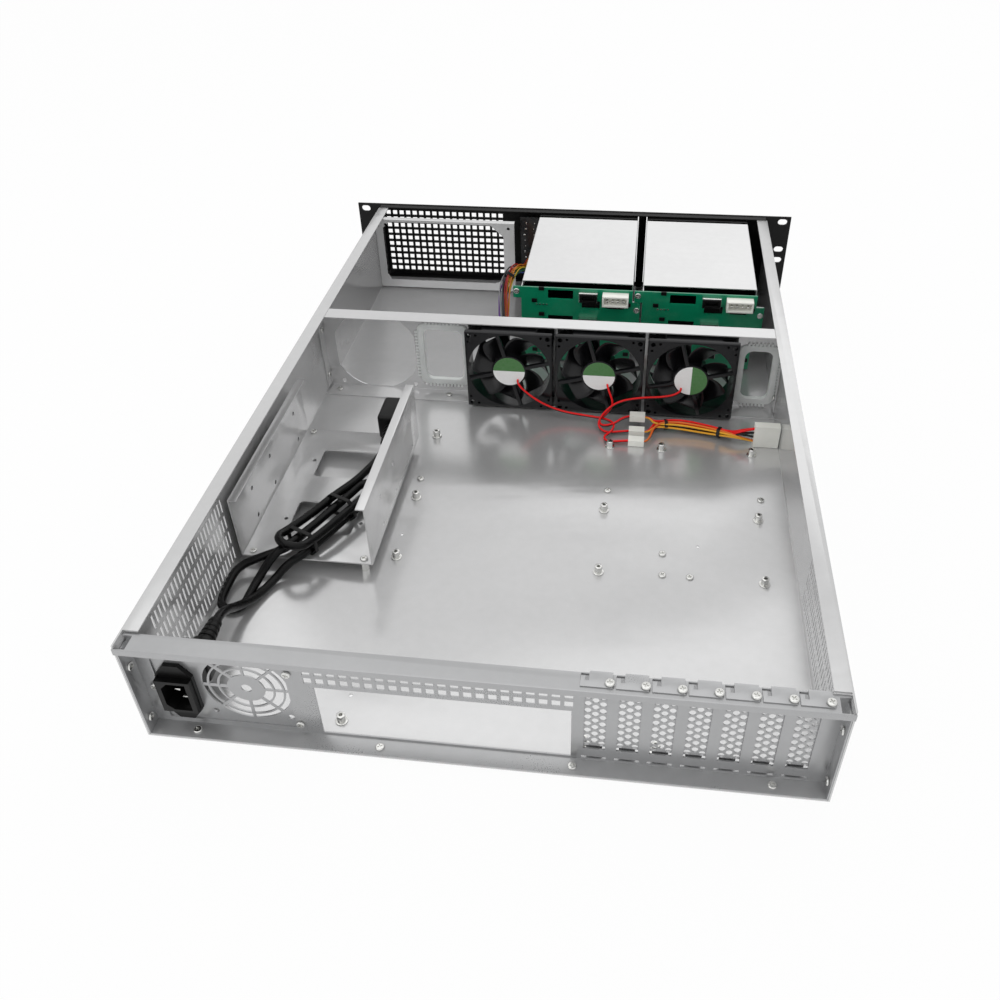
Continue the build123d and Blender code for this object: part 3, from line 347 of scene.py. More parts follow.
def start(kind, **settings):
    """A primitive to begin a piece with, alone in the selection."""
    nothing_selected()
    getattr(bpy.ops.mesh, f"primitive_{kind}_add")(**settings)
    bpy.ops.object.transform_apply(location=True, rotation=True, scale=True)
    return bpy.context.object


def block(low, high, turn=(0, 0, 0)):
    """A box between two corners, turned about its middle."""
    low, high = place(low), place(high)
    return start("cube", size=1, location=(low + high) / 2, scale=high - low, rotation=turn)


def rod(centre, radius, length, axis="Z", sides=24, tall=1.0):
    """A round bar about its middle, tall times as high as wide."""
    turn = {"X": (0, math.pi / 2, 0), "Y": (math.pi / 2, 0, 0), "Z": (0, 0, 0)}[axis]
    return start(
        "cylinder",
        vertices=sides,
        radius=radius * MM,
        depth=length * MM,
        location=place(centre),
        rotation=turn,
        scale=(1, tall, 1),
    )


def modify(piece, kind, **settings):
    """Add a modifier and apply it."""
    nothing_selected()
    piece.select_set(True)
    bpy.context.view_layer.objects.active = piece
    change = piece.modifiers.new("change", kind)
    for key, value in settings.items():
        setattr(change, key, value)
    bpy.ops.object.modifier_apply(modifier=change.name)
    return piece


def repeat(piece, count, step):
    """A row of the piece."""
    return modify(
        piece,
        "ARRAY",
        count=count,
        use_relative_offset=False,
        use_constant_offset=True,
        constant_offset_displace=place(step),
    )


def soften(piece, width, segments=2):
    """Round off every sharp edge."""
    return modify(
        piece,
        "BEVEL",
        width=width * MM,
        segments=segments,
        limit_method="ANGLE",
        angle_limit=0.6,
    )


def cut(piece, *cutters):
    """Take the cutters out of the piece."""
    for cutter in cutters:
        modify(piece, "BOOLEAN", object=cutter, operation="DIFFERENCE", solver="EXACT")
        bpy.data.objects.remove(cutter)
    return piece


def joined(*pieces):
    nothing_selected()
    for piece in pieces:
        piece.select_set(True)
    bpy.context.view_layer.objects.active = pieces[0]
    bpy.ops.object.join()
    return pieces[0]


def applied(piece):
    """The piece's place and turn put into its mesh."""
    nothing_selected()
    piece.select_set(True)
    bpy.context.view_layer.objects.active = piece
    bpy.ops.object.transform_apply(location=True, rotation=True, scale=True)
    return piece


def facing(direction, spin=0.0):
    """The turn that brings Z to a direction, after a spin about Z."""
    turn = Vector((0, 0, 1)).rotation_difference(Vector(direction)).to_matrix()
    return (turn @ Matrix.Rotation(spin, 3, "Z")).to_euler()


def twin(piece, shift=(0, 0, 0), turn=(0, 0, 0)):
    """A copy with its own mesh, turned about the origin and set off by shift."""
    made = piece.copy()
    made.data = piece.data.copy()
    bpy.context.scene.collection.objects.link(made)
    made.rotation_euler = turn
    made.location = place(shift)
    return applied(made)


def shaded(piece, angle=0.6):
    """Smooth shading that keeps sharp edges."""
    nothing_selected()
    piece.select_set(True)
    bpy.context.view_layer.objects.active = piece
    bpy.ops.object.shade_smooth_by_angle(angle=angle)
    return piece


def finished(piece, name, material, body="case", hides=(), smooth=True):
    """Name, finish and attach a piece, and hide the nodes that it stands for."""
    if smooth:
        shaded(piece)
    settle(piece, name, material)
    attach(piece, body)
    if hides:
        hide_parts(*hides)
    return piece


def folded(path, run, sheet, edge=0.25):
    """A folded sheet: its middle line drawn point by point, run out and thickened."""
    made = start("plane", size=MM, location=place(path[0]))
    bpy.ops.object.mode_set(mode="EDIT")
    bpy.ops.mesh.select_all(action="SELECT")
    bpy.ops.mesh.merge(type="CENTER")
    for here, there in zip(path, path[1:]):
        step = place(there) - place(here)
        bpy.ops.mesh.extrude_region_move(TRANSFORM_OT_translate={"value": step})
    bpy.ops.mesh.select_all(action="SELECT")
    bpy.ops.mesh.extrude_region_move(TRANSFORM_OT_translate={"value": place(run)})
    bpy.ops.object.mode_set(mode="OBJECT")
    modify(made, "SOLIDIFY", thickness=sheet * MM, offset=0.0, use_even_offset=True)
    bpy.ops.object.mode_set(mode="EDIT")
    bpy.ops.mesh.select_all(action="SELECT")
    bpy.ops.mesh.normals_make_consistent(inside=False)
    bpy.ops.object.mode_set(mode="OBJECT")
    return soften(made, edge)


# ---- folded case parts ----
HALF = 215.0
INSIDE = 213.7
FLANGE_Z = BASE + 86.0
PANEL_REAR = behind(13.0)
PANEL_FRONT = PANEL_REAR - 1.0
SHELF = 85.05
TRAY_REAR = 328.9
TRAY_FRONT = -320.0
FOOT_Z = FLOOR + 0.6
SLOT_PITCH = 20.32
SLOT_COUNT = 7
SLOTS = [-72.5 - SLOT_PITCH * i for i in range(SLOT_COUNT)]
EAR_SLOT_X = 232.55


def make_tray():
    """The tray: floor, walls and top flanges, with fine vents in both walls."""
    low, high, wall = BASE + 0.6, FLANGE_Z - 0.6, HALF - 0.6
    section = (
        (11 - HALF, high),
        (-wall, high),
        (-wall, low),
        (wall, low),
        (wall, high),
        (HALF - 11, high),
    )
    path = [(x, TRAY_REAR, z) for x, z in section]
    tray = folded(path, (0, TRAY_FRONT - TRAY_REAR, 0), 1.2)
    cut(tray, block((-213.8, behind(14.3), FLANGE_Z - 2), (213.8, REAR + 1, FLANGE_Z + 2)))
    vents = block((-216, behind(43) - 0.9, BASE + 9), (216, behind(43) + 0.9, BASE + 20.5))
    repeat(vents, 24, (0, -5, 0))
    repeat(vents, 4, (0, 0, 15.5))
    cut(tray, vents)
    small = joined(
        *[
            rod((x, behind(y), FLOOR), 1.3, 6, sides=16)
            for x, y in ((-140.7, 216.7), (92.3, 45.9), (94.3, 206.3))
        ],
    )
    cut(tray, small)
    finished(tray, "folded_tray", steel, hides=("base_tray",))


def make_rear_panel():
    """The rear panel with its shelf, lip and flanges and all its openings."""
    plate, lip = PANEL_FRONT + 0.5, REAR - 0.5
    section = (
        (TRAY_REAR, FOOT_Z),
        (plate, FOOT_Z),
        (plate, SHELF - 0.5),
        (lip, SHELF - 0.5),
        (lip, SHELF - 5),
    )
    path = [(-HALF, y, z) for y, z in section]
    panel = folded(path, (2 * HALF, 0, 0), 1.0)
    for side in (-1, 1):
        near, far = sorted((side * INSIDE, side * (HALF + 1)))
        cut(panel, block((near, 300, 0), (far, TRAY_REAR, 90)))
        near, far = sorted((side * 207, side * 214))
        cut(panel, block((near, behind(12), 80), (far, behind(1), 90)))
    openings = [
        block((117.6, 310, BASE + 6), (203.2, 320, BASE + 66)),
        block((100.5 - 158.75, 310, BASE + 4.3), (100.5, 320, BASE + 48.75)),
    ]
    vents = block((103.5 - 2.6, 310, BASE + 52), (103.5 + 2.6, 320, BASE + 57.2))
    repeat(vents, 22, (-7.62, 0, 0))
    openings.append(repeat(vents, 2, (0, 0, 7.62)))
    slots = joined(
        block((SLOTS[0] - 6.7, 310, BASE + 13.5), (SLOTS[0] + 6.7, 320, BASE + 72)),
        block((SLOTS[0] - 7.75, 310, BASE + 4), (SLOTS[0] + 7.75, 320, BASE + 5.8)),
    )
    openings.append(repeat(slots, SLOT_COUNT, (-SLOT_PITCH, 0, 0)))
    cut(panel, *openings)
    notches = block(
        (SLOTS[0] + 4.4, PANEL_FRONT - 1, SHELF - 2),
        (SLOTS[0] + 9.3, PANEL_FRONT + 5.8, SHELF + 1),
    )
    cut(panel, repeat(notches, SLOT_COUNT, (-SLOT_PITCH, 0, 0)))
    flanges = []
    for side in (-1, 1):
        near, far = sorted((side * (INSIDE - 1), side * INSIDE))
        flange = block((near, PANEL_FRONT, FLOOR + 0.1), (far, TRAY_REAR, FLANGE_Z - 7))
        cut(
            flange,
            block(
                (near - 2, TRAY_REAR - 2, FLANGE_Z - 9),
                (far + 2, TRAY_REAR + 4, FLANGE_Z),
                (math.radians(45), 0, 0),
            ),
        )
        flanges.append(soften(flange, 0.2))
    finished(
        joined(panel, *flanges),
        "rear_panel_folded",
        panel_steel_painted_shade,
        hides=("rear_panel",),
    )


def make_slot_covers():
    """Perforated covers: modelled once, then one copy for each slot."""
    x, y = SLOTS[0], PANEL_FRONT - 0.5
    tab = SHELF + 0.42
    path = [(y - 2.4, 3.2), (y - 2.4, BASE + 13.6), (y, BASE + 15.6), (y, tab), (y + 11, tab)]
    cover = folded([(x - 9.2, across, z) for across, z in path], (18.4, 0, 0), 0.8, 0.15)
    for side in (-1, 1):
        near, far = sorted((x + side * 5, x + side * 10))
        cut(cover, block((near, 300, 0), (far, 320, BASE + 12.8)))
    hole = rod((x, y, BASE + 20.8), 2.15, 3, "Y", 12, tall=1.16)
    sides = twin(hole, (-4.5, 0, -3.2))
    repeat(hole, 8, (0, 0, 6.35))
    repeat(sides, 9, (0, 0, 6.35))
    other = twin(sides, (9, 0, 0))
    cut(cover, joined(hole, sides, other))
    cut(cover, block((x + 4.2, y - 1, SHELF - 1), (x + 9.5, y + 3.4, SHELF + 3)))
    cut(cover, block((x + 4.2, y + 3, SHELF - 1), (x + 6.6, y + 6.6, SHELF + 3)))
    for index, slot in enumerate(SLOTS):
        piece = twin(cover, (slot - x, 0, 0))
        number = index + 1
        finished(
            piece,
            f"perforated_cover_{number}",
            panel_steel_painted_shade,
            hides=(f"slot_cover_{number}",),
        )
    bpy.data.objects.remove(cover)


def make_inlet_plate():
    """The plate with the ringed grille."""
    front = PANEL_FRONT - 1.1
    plate = block((112, front, BASE + 3.4), (208, front + 1, BASE + 70))
    rings = []
    for inside, outside in ((12.0, 17.4), (18.6, 24.0), (25.2, 28.5)):
        ring = rod((145.4, front, BASE + 40.5), outside, 6, "Y", 64)
        rings.append(cut(ring, rod((145.4, front, BASE + 40.5), inside, 8, "Y", 64)))
    rings = joined(*rings)
    for step in range(4):
        turn = (0, step * math.pi / 4, 0)
        cut(rings, block((115, front - 5, BASE + 39.7), (175.8, front + 5, BASE + 41.3), turn))
    cut(plate, rings, rod((145.4, front, BASE + 40.5), 3.5, 6, "Y"))
    cut(plate, block((179.8, 300, BASE + 20.1), (200.2, 320, BASE + 47.9)))
    holes = rod((120.4, front, BASE + 15.5), 2.1, 6, "Y", 16)
    repeat(holes, 2, (50, 0, 0))
    cut(plate, repeat(holes, 2, (0, 0, 50)))
    finished(plate, "grille_plate", panel_steel_painted_shade, hides=("inlet_plate",))


def make_drive_bracket():
    """The channel for the hard drives, with its rows of holes and two windows."""
    left, right, top, low = 209.2 - 0.6, 105.4 + 0.6, BASE + 65.5 - 0.6, FLOOR + 9.6
    rear, front = behind(160), behind(326)
    section = ((202.2, top), (left, top), (left, low), (right, low), (right, top), (112.4, top))
    path = [(x, rear, z) for x, z in section]
    channel = folded(path, (0, front - rear, 0), 1.2)
    holes = [
        rod((157, behind(d), BASE + z), 1.9, 120, "X", 16)
        for d in (199, 240.3, 300.6)
        for z in (18.3, 45.8)
    ]
    cut(channel, joined(*holes))
    for middle in (208.5, 278.5):
        window = block((131.3, behind(middle) - 18.75, 0), (183.3, behind(middle) + 18.75, 20))
        cut(channel, soften(window, 4, 4))
    small = [
        rod((157.3 + a * 30.86, behind(242.7) + b * 38.3, low), 1.7, 6, sides=16)
        for a in (-1, 1)
        for b in (-1, 1)
    ]
    cut(channel, joined(*small))
    finished(channel, "drive_channel", steel, hides=("drive_bracket",))


def make_front_panel():
    """The black front plate with ears, grille, bays and returns."""
    back = -REAR + 2
    plate = soften(block((-241.3, -REAR, 0), (241.3, back, 88.1)), 0.3)
    grille = block((77.8 - 2.6, -340, BASE + 8.8 - 2.6), (77.8 + 2.6, -320, BASE + 8.8 + 2.6))
    repeat(grille, 18, (7.6, 0, 0))
    cut(plate, repeat(grille, 10, (0, 0, 7.6)))
    for x in CAGES:
        cut(plate, block((x - 54.5, -340, 2.95), (x + 54.5, -320, 85.95)))
    slots = []
    for side in (-1, 1):
        for z in (5.95, 37.7, 50.4, 82.15):
            low_x, high_x = side * EAR_SLOT_X - 1.6, side * EAR_SLOT_X + 1.6
            slots.append(block((low_x, -335, z - 3.4), (high_x, -325, z + 3.4)))
            slots.append(rod((low_x, -329, z), 3.4, 9, "Y", 32))
            slots.append(rod((high_x, -329, z), 3.4, 9, "Y", 32))
    for cutter in slots:
        cut(plate, cutter)
    cut(
        plate,
        rod((44, -329, BASE + 62), 4.3, 9, "Y", 32),
        rod((44, -329, BASE + 46), 2.5, 9, "Y", 32),
    )
    parts = [plate]
    for low, high in ((0.6, 1.6), (86.5, 87.5)):
        parts.append(block((-INSIDE, back, low), (INSIDE, TRAY_FRONT - 0.1, high)))
    for side in (-1, 1):
        near, far = sorted((side * (INSIDE - 1), side * INSIDE))
        parts.append(block((near, back, FLOOR + 4), (far, -308, 81.5)))
    for z in (18, 76):
        parts.append(rod((44, back + 4, BASE + z), 2.4, 8, "Y"))
    finished(joined(*parts), "front_plate", black_paint, hides=("front_panel",))


make_tray()
make_rear_panel()
make_slot_covers()
make_inlet_plate()
make_drive_bracket()
make_front_panel()


# ---- screws and standoffs ----
def make_screw():
    """A pan-head screw with a crossed recess, its head upward from the origin."""
    head = rod((0, 0, 0.85), 2.9, 1.7, sides=20)
    soften(head, 0.7, 3)
    for turn in (0, math.pi / 2):
        cut(head, block((-1.7, -0.35, 0.8), (1.7, 0.35, 3), (0, 0, turn)))
    return head


def make_standoff():
    """A six-sided standoff with a threaded hole, on a round foot."""
    post = rod((0, 0, 3.25), 3.1, 6.5, sides=6)
    soften(post, 0.4, 2)
    foot = soften(rod((0, 0, 0.5), 4.2, 1.0, sides=24), 0.35)
    cut(post, rod((0, 0, 5), 1.3, 7, sides=16))
    return joined(post, foot)


def scatter(model, spots, name, material, hides=()):
    """Copies of one model, each at its place and facing its direction, as one piece."""
    copies = [
        twin(model, spot, facing(direction, random.uniform(0, 3)))
        for spot, direction in spots
    ]
    bpy.data.objects.remove(model)
    return finished(joined(*copies), name, material, hides=hides)


UP = (0, 0, 1)
foot_top = FLOOR + 1.1
screws = [((x, behind(6.8), foot_top), UP) for x in (182.9, 62.3, -59.7, -181.2)]
screws += [((x, -76, foot_top), UP) for x in (201.9, 93.5)]
screws += [((x, -298, foot_top), UP) for x in (178.3, 90.1)]
screws += [((x - 7.56, behind(6.5), SHELF + 0.9), UP) for x in SLOTS]
screws += [
    ((x, PANEL_REAR, BASE + z), (0, 1, 0))
    for x, z in ((206, 36.3), (114.6, 10.8), (115.9, 59.4))
]
screws += [((157.3 + a * 44, 87 + b * 78.5, FLOOR + 10.2), UP) for a in (-1, 1) for b in (-1, 1)]
for side in (-1, 1):
    places = [(behind(6.5), 62), (behind(6.5), 13), (-80, 65.7), (-80, 16.3)]
    screws += [((side * 212.7, y, BASE + z), (-side, 0, 0)) for y, z in places]
for x in CAGES:
    screws += [
        ((x + 58.3, -149.1, BASE + 79.4), (0, 1, 0)),
        ((x - 58.3, -149.1, BASE + 63.7), (0, 1, 0)),
    ]
scatter(make_screw(), screws, "crosshead_screws", bright, ("case_screws",))
loose_spots = (
    (-113.2, 204.7),
    (-113.4, 181.3),
    (-134, 181),
    (94, 277.1),
    (-66.6, 277.4),
    (-193.3, 277.8),
)
scatter(
    make_screw(),
    [((x, behind(y), FLOOR - 0.05), UP) for x, y in loose_spots],
    "floor_screws",
    bright,
)

columns, rows = (92.5, -64.98, -110.7, -189.44), (24.9, 179.84, 252.23, 339.9)
used = (
    (0, 0),
    (1, 0),
    (2, 0),
    (0, 1),
    (1, 1),
    (3, 1),
    (0, 2),
    (1, 2),
    (3, 2),
    (0, 3),
    (1, 3),
    (2, 3),
    (3, 3),
)
posts = [((columns[a], behind(rows[b]), FLOOR), UP) for a, b in used]
scatter(make_standoff(), posts, "threaded_standoffs", bright, ("board_standoffs",))

# ---- fans ----
FAN_FRONT = -84.9
FAN_REAR = -59.9
FAN_BORE = 38
FAN_HOLE = 35.75


def make_fan_frame(x):
    """Square frame with round bore, cut waist, corner holes, hub plate and four arms."""
    frame_block = block((x - 40, FAN_FRONT, FAN_Z - 40), (x + 40, FAN_REAR, FAN_Z + 40))
    soften(frame_block, 1.2, 2)
    corners = []
    for a in (-1, 1):
        for b in (-1, 1):
            low = (x + a * 40 - 11, FAN_FRONT + 4, FAN_Z + b * 40 - 11)
            high = (x + a * 40 + 11, FAN_REAR - 4, FAN_Z + b * 40 + 11)
            corners.append(block(low, high, (0, math.pi / 4, 0)))
    cut(frame_block, rod((x, -72, FAN_Z), FAN_BORE, 40, "Y", 72), *corners)
    holes = [
        rod((x + a * FAN_HOLE, -72, FAN_Z + b * FAN_HOLE), 2.2, 40, "Y", 20)
        for a in (-1, 1)
        for b in (-1, 1)
    ]
    for a in (-1, 1):
        for b in (-1, 1):
            holes.append(rod((x + a * 29.5, -72, FAN_Z + b * 36.6), 1.3, 40, "Y", 12))
            holes.append(rod((x + a * 36.6, -72, FAN_Z + b * 29.5), 1.3, 40, "Y", 12))
    cut(frame_block, joined(*holes))
    parts = [frame_block, soften(rod((x, FAN_REAR - 2, FAN_Z), 16, 4, "Y", 48), 0.6)]
    for angle in (75, 165, 255, 345):
        a = math.radians(angle)
        c = Vector((x + 26.5 * math.cos(a), FAN_REAR - 1.9, FAN_Z + 26.5 * math.sin(a)))
        half = Vector((12.5, 1.8, 1.7))
        parts.append(soften(block(c - half, c + half, (0, -a, 0)), 0.4))
    return joined(*parts)


def make_blade():
    """One blade about the origin: its root edge drawn out, swept and twisted step by step."""
    blade = start("grid", x_subdivisions=1, y_subdivisions=4, size=MM, location=(0, 0, 0))
    bpy.ops.object.mode_set(mode="EDIT")
    bpy.ops.mesh.select_all(action="SELECT")
    bpy.ops.transform.resize(value=(0.01, 24, 1), center_override=(0, 0, 0))
    bpy.ops.mesh.remove_doubles(threshold=0.1 * MM)
    bpy.ops.object.mode_set(mode="OBJECT")
    for vertex in blade.data.vertices:
        vertex.select = abs(vertex.co.y) < 7 * MM
    bpy.ops.object.mode_set(mode="EDIT")
    bpy.ops.transform.translate(value=(0, 0, 1.9 * MM))
    bpy.ops.mesh.select_all(action="SELECT")
    bpy.ops.transform.rotate(value=0.92, orient_axis="X", center_override=(0, 0, 0))
    bpy.ops.transform.translate(value=(13.5 * MM, 0, 0))
    for step in range(6):
        bpy.ops.mesh.extrude_region_move(TRANSFORM_OT_translate={"value": (3.3 * MM, 0, 0)})
        here = ((16.8 + 3.3 * step) * MM, 0, 0)
        bpy.ops.transform.rotate(value=0.035, orient_axis="X", center_override=here)
        bpy.ops.transform.rotate(
            value=0.02 + 0.018 * step,
            orient_axis="Y",
            center_override=(0, 0, 0),
        )
        bpy.ops.transform.resize(value=(1, 1.075, 1.075), center_override=here)
    bpy.ops.object.mode_set(mode="OBJECT")
    modify(blade, "SOLIDIFY", thickness=1.2 * MM, offset=0.0)
    return modify(blade, "SUBSURF", levels=1)


def make_rotor(x):
    """Round hub with seven swept blades."""
    blade = make_blade()
    parts = [soften(rod((x, -74.15, FAN_Z), 15, 18.5, "Y", 48), 1.0, 3)]
    for index in range(7):
        turn = (0, math.radians(360 / 7 * index), 0)
        parts.append(twin(blade, (x, -73.9, FAN_Z), turn=turn))
    bpy.data.objects.remove(blade)
    return joined(*parts)


def label_paint(name, axis, edge, above, below):
    """A disc in two tones, split along a line."""
    p = Paint(name)
    side = p.axes()[axis] > edge
    fleck = p.noise(500, 2, 0.5)
    tone = p.between(side, rgb(*below), rgb(*above))
    p.set(Base_Color=p.between(fleck * 0.12, tone, rgb(0.5, 0.5, 0.5)), Roughness=fleck * 0.1 + 0.3)
    return p.material


GREEN = (0.045, 0.19, 0.035)
WHITE = (0.94, 0.94, 0.93)
level_label = label_paint("label_level", 2, FAN_Z * MM + 0.0005, GREEN, WHITE)
upright_label = label_paint("label_upright", 0, FANS[2] * MM - 0.0005, WHITE, GREEN)
frame_model = make_fan_frame(FANS[0])
rotor_model = make_rotor(FANS[0])
for index, x in enumerate(FANS):
    number = index + 1
    shift = (x - FANS[0], 0, 0)
    finished(
        twin(frame_model, shift),
        f"fan_housing_{number}",
        fan_plastic,
        hides=(f"fan_frame_{number}",),
    )
    finished(
        twin(rotor_model, shift),
        f"fan_blades_{number}",
        fan_plastic,
        f"rotor_{number}",
        (f"fan_rotor_{number}",),
    )
    label = soften(rod((x, FAN_REAR + 0.05, FAN_Z), 14.6, 0.3, "Y", 64), 0.08, 1)
    finished(label, f"fan_label_{number}", upright_label if number == 3 else level_label)
for model in (frame_model, rotor_model):
    bpy.data.objects.remove(model)


# ---- cable ports ----
def make_port_trim(x, z, width, height):
    """Comb-edged trim round a port: a rounded ring with teeth round its outside."""
    y = -85.5
    ring = block(
        (x - width / 2 - 2, y - 2.3, z - height / 2 - 2),
        (x + width / 2 + 2, y + 2.3, z + height / 2 + 2),
    )
    hole = block(
        (x - width / 2 + 3.5, y - 5, z - height / 2 + 3.5),
        (x + width / 2 - 3.5, y + 5, z + height / 2 - 3.5),
    )
    for shape, radius in ((ring, 6), (hole, 7)):
        nothing_selected()
        shape.select_set(True)
        bpy.context.view_layer.objects.active = shape
        bpy.ops.object.mode_set(mode="EDIT")
        bpy.ops.mesh.select_mode(type="EDGE")
        bpy.ops.mesh.select_all(action="DESELECT")
        bpy.ops.object.mode_set(mode="OBJECT")
        for edge in shape.data.edges:
            a, b = (shape.data.vertices[i].co for i in edge.vertices)
            edge.select = abs(a.y - b.y) > MM
        bpy.ops.object.mode_set(mode="EDIT")
        bpy.ops.mesh.bevel(offset=radius * MM, segments=5, affect="EDGES")
        bpy.ops.mesh.select_mode(type="VERT")
        bpy.ops.object.mode_set(mode="OBJECT")
    cut(ring, hole)
    teeth = []
    wide, tall = width / 2 + 3, height / 2 + 3
    across = int((width - 8) / 3.4)
    up = int((height - 8) / 3.4)
    for side in (-1, 1):
        first = x - 1.7 * (across - 1)
        row = block(
            (first - 0.9, y - 1.9, z + side * tall - 1.6),
            (first + 0.9, y + 2.3, z + side * tall + 1.6),
        )
        teeth.append(repeat(row, across, (3.4, 0, 0)))
        first = z - 1.7 * (up - 1)
        row = block(
            (x + side * wide - 1.6, y - 1.9, first - 0.9),
            (x + side * wide + 1.6, y + 2.3, first + 0.9),
        )
        teeth.append(repeat(row, up, (0, 0, 3.4)))
    return joined(soften(ring, 0.4), *teeth)


trims = joined(
    make_port_trim(97.3, BASE + 42.5, 44, 61),
    make_port_trim(-194.2, BASE + 37.5, 32, 58),
)
finished(trims, "comb_trims", trim_plastic, hides=("port_trims",))

# ---- boards and sockets ----
def make_board_parts(x, number):
    """What is soldered to a backplane: sockets, a power header, chips and capacitors."""
    rear = -149.1
    black, silver, chips, white = [], [], [], []
    for row in range(3):
        z = FLOOR + 1.1 + 27.6 * row + 19.4
        shell = block((x - 19.8, rear, z - 4.3), (x - 3.2, rear + 7, z + 4.3))
        cut(shell, block((x - 17.5, rear + 1.5, z - 2), (x - 5.5, rear + 9, z + 2)))
        black.append(soften(shell, 0.25))
        black.append(block((x - 16, rear + 0.5, z - 0.6), (x - 7, rear + 5.5, z + 0.6)))
        rim = block((x - 20.3, rear, z - 4.8), (x - 2.7, rear + 5.6, z + 4.8))
        silver.append(cut(rim, block((x - 19.8, rear - 2, z - 4.3), (x - 3.2, rear + 9, z + 4.3))))
        low = FLOOR + 1.1 + 27.6 * row + 6
        black.append(
            soften(block((x - 41, rear - 1.6 - 8, low - 3.5), (x + 1, rear - 1.6, low + 3.5)), 0.3),
        )
        for place_x, place_z in ((x + 34, z + 6), (x + 41, z - 7), (x - 50, z - 8)):
            low_corner = (place_x - 2.6, rear, place_z - 1.9)
            high_corner = (place_x + 2.6, rear + 1.2, place_z + 1.9)
            chips.append(soften(block(low_corner, high_corner), 0.15, 1))
        for step in range(4):
            spot = x + 29 + 3.2 * step
            silver.append(block((spot - 0.9, rear, z - 11.6), (spot + 0.9, rear + 0.7, z - 10.5)))
        for low_x, high_x, drop in ((x - 20, x - 6, 9.5), (x - 45, x - 30, 11.5)):
            if row:
                slit = block((low_x, rear, z - drop - 1.7), (high_x, rear + 0.25, z - drop + 1.7))
                black.append(soften(slit, 0.1, 1))
    z = BASE + 76
    header = block((x - 50.3, rear, z - 5.5), (x - 25.3, rear + 10, z + 5.5))
    cut(header, block((x - 48.6, rear + 1.6, z - 3.8), (x - 27, rear + 12, z + 3.8)))
    white.append(soften(header, 0.3))
    for step in range(4):
        silver.append(
            soften(rod((x - 37.8 + (step - 1.5) * 5.08, rear + 5, z), 1.0, 8, "Y", 16), 0.3, 1),
        )
    finished(
        joined(*black),
        f"board_sockets_{number}",
        black_plastic,
        hides=(f"backplane_sockets_{number}",),
    )
    finished(joined(*silver), f"board_metal_{number}", bright)
    finished(joined(*chips), f"board_chips_{number}", black_plastic)
    finished(joined(*white), f"power_header_{number}", white_plastic)


for index, x in enumerate(CAGES):
    make_board_parts(x, index + 1)

spots = [
    nodes["control_board"].matrix_world @ Vector(corner)
    for corner in nodes["control_board"].bound_box
]
low_x, high_x = min(v.x for v in spots) / MM, max(v.x for v in spots) / MM
low_z, high_z = min(v.z for v in spots) / MM, max(v.z for v in spots) / MM
small = []
for row in range(9):
    for column in range(2):
        at_x = low_x + (high_x - low_x) * (0.22 + 0.5 * column + random.uniform(-0.08, 0.08))
        at_z = low_z + (high_z - low_z) * (0.10 + 0.1 * row)
        wide, tall = random.choice(((0.6, 1.1), (1.2, 0.6), (0.5, 0.5)))
        small.append(
            soften(
                block((at_x - wide, -318.3, at_z - tall), (at_x + wide, -317.5, at_z + tall)),
                0.1,
                1,
            ),
        )
finished(joined(*small), "control_board_parts", bright)

pins = []
for a, b in ((-2, -7), (2, 0), (-2, 7)):
    x, z = 190 + a, BASE + 34 + b
    pins.append(soften(block((x - 2.1, 305.5, z - 1.1), (x + 2.1, 316.8, z + 1.1)), 0.4))
finished(joined(*pins), "inlet_pins", bright)


# ---- wiring ----


def strands(name, routes, radius, material, hides=()):
    """Wires of one colour, each along its own spline."""
    piece = line(name, routes, radius, material)
    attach(piece, "case")
    if hides:
        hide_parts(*hides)
    return piece


def beside(route, side, up):
    """The route shifted for one wire of a bundle."""
    return [(x, y + side, z + up) for x, y, z in route]


HUB_Y = FAN_REAR + 6
fan_routes = [
    [
        (23.9, FAN_REAR, 35),
        (23.9, HUB_Y, 35),
        (14, HUB_Y, 24),
        (-1, HUB_Y + 1, 14),
        (-20, -50, 9),
        (-44, -47, 8),
        (-60, -43, 9),
        (-68, -36, 9),
        (-66, -27, 7),
        (-58, -20, 5),
        (-63, -13.5, 4.6),
        (-74, -15, 5.2),
        (-82, -16, 5.55),
    ],
    [
        (-58.9, FAN_REAR, 35),
        (-60, HUB_Y, 34),
        (-66, -51, 20),
        (-60, -47, 12),
        (-53, -41, 9),
        (-56, -33, 7.5),
        (-67, -34, 10),
        (-76, -42, 13),
        (-82, -43.5, 13),
    ],
    [
        (-125.7, FAN_REAR, 35),
        (-125.7, HUB_Y, 35),
        (-113.7, HUB_Y, 29),
        (-87.7, HUB_Y + 2, 28),
        (-68, -49, 24),
        (-56, -43, 14),
        (-52, -35, 7),
        (-59, -27, 4.8),
        (-71, -29, 5.3),
        (-82, -31, 5.55),
    ],
]
for index, route in enumerate(fan_routes):
    number = index + 1
    strands(
        f"fan_wire_red_{number}",
        [beside(route, 0.3, 0.75)],
        0.9,
        wire_red,
        (f"fan_lead_{number}",),
    )
    strands(f"fan_wire_black_{number}", [beside(route, -0.5, -0.75)], 0.8, wire_black)

trunk = [
    (-104, -39, 9),
    (-124, -42, 8.5),
    (-152, -38, 7),
    (-172, -29, 9.5),
    (-182, -26, 13),
    (-192, -26, 13),
]


def trunk_wire(entry, side, up, pin):
    """A wire from a plug's back through the tied trunk to a pin of the power plug."""
    x, y, z = entry
    middle = []
    for point, spread in zip(trunk[:4], (1, 2.1, 1.9, 1)):
        middle += beside([point], side * spread, max(up * spread, -2.2))
    return [
        (x - 6, y, z),
        (x - 11, y, z),
        *middle,
        (-182, -26 + side * 0.6, 13 + pin * 0.6),
        (-192, -26, 13 + pin),
    ]


PLUGS = ((-88, -43.5, 13), (-88, -31, 5.55), (-88, -16, 5.55))


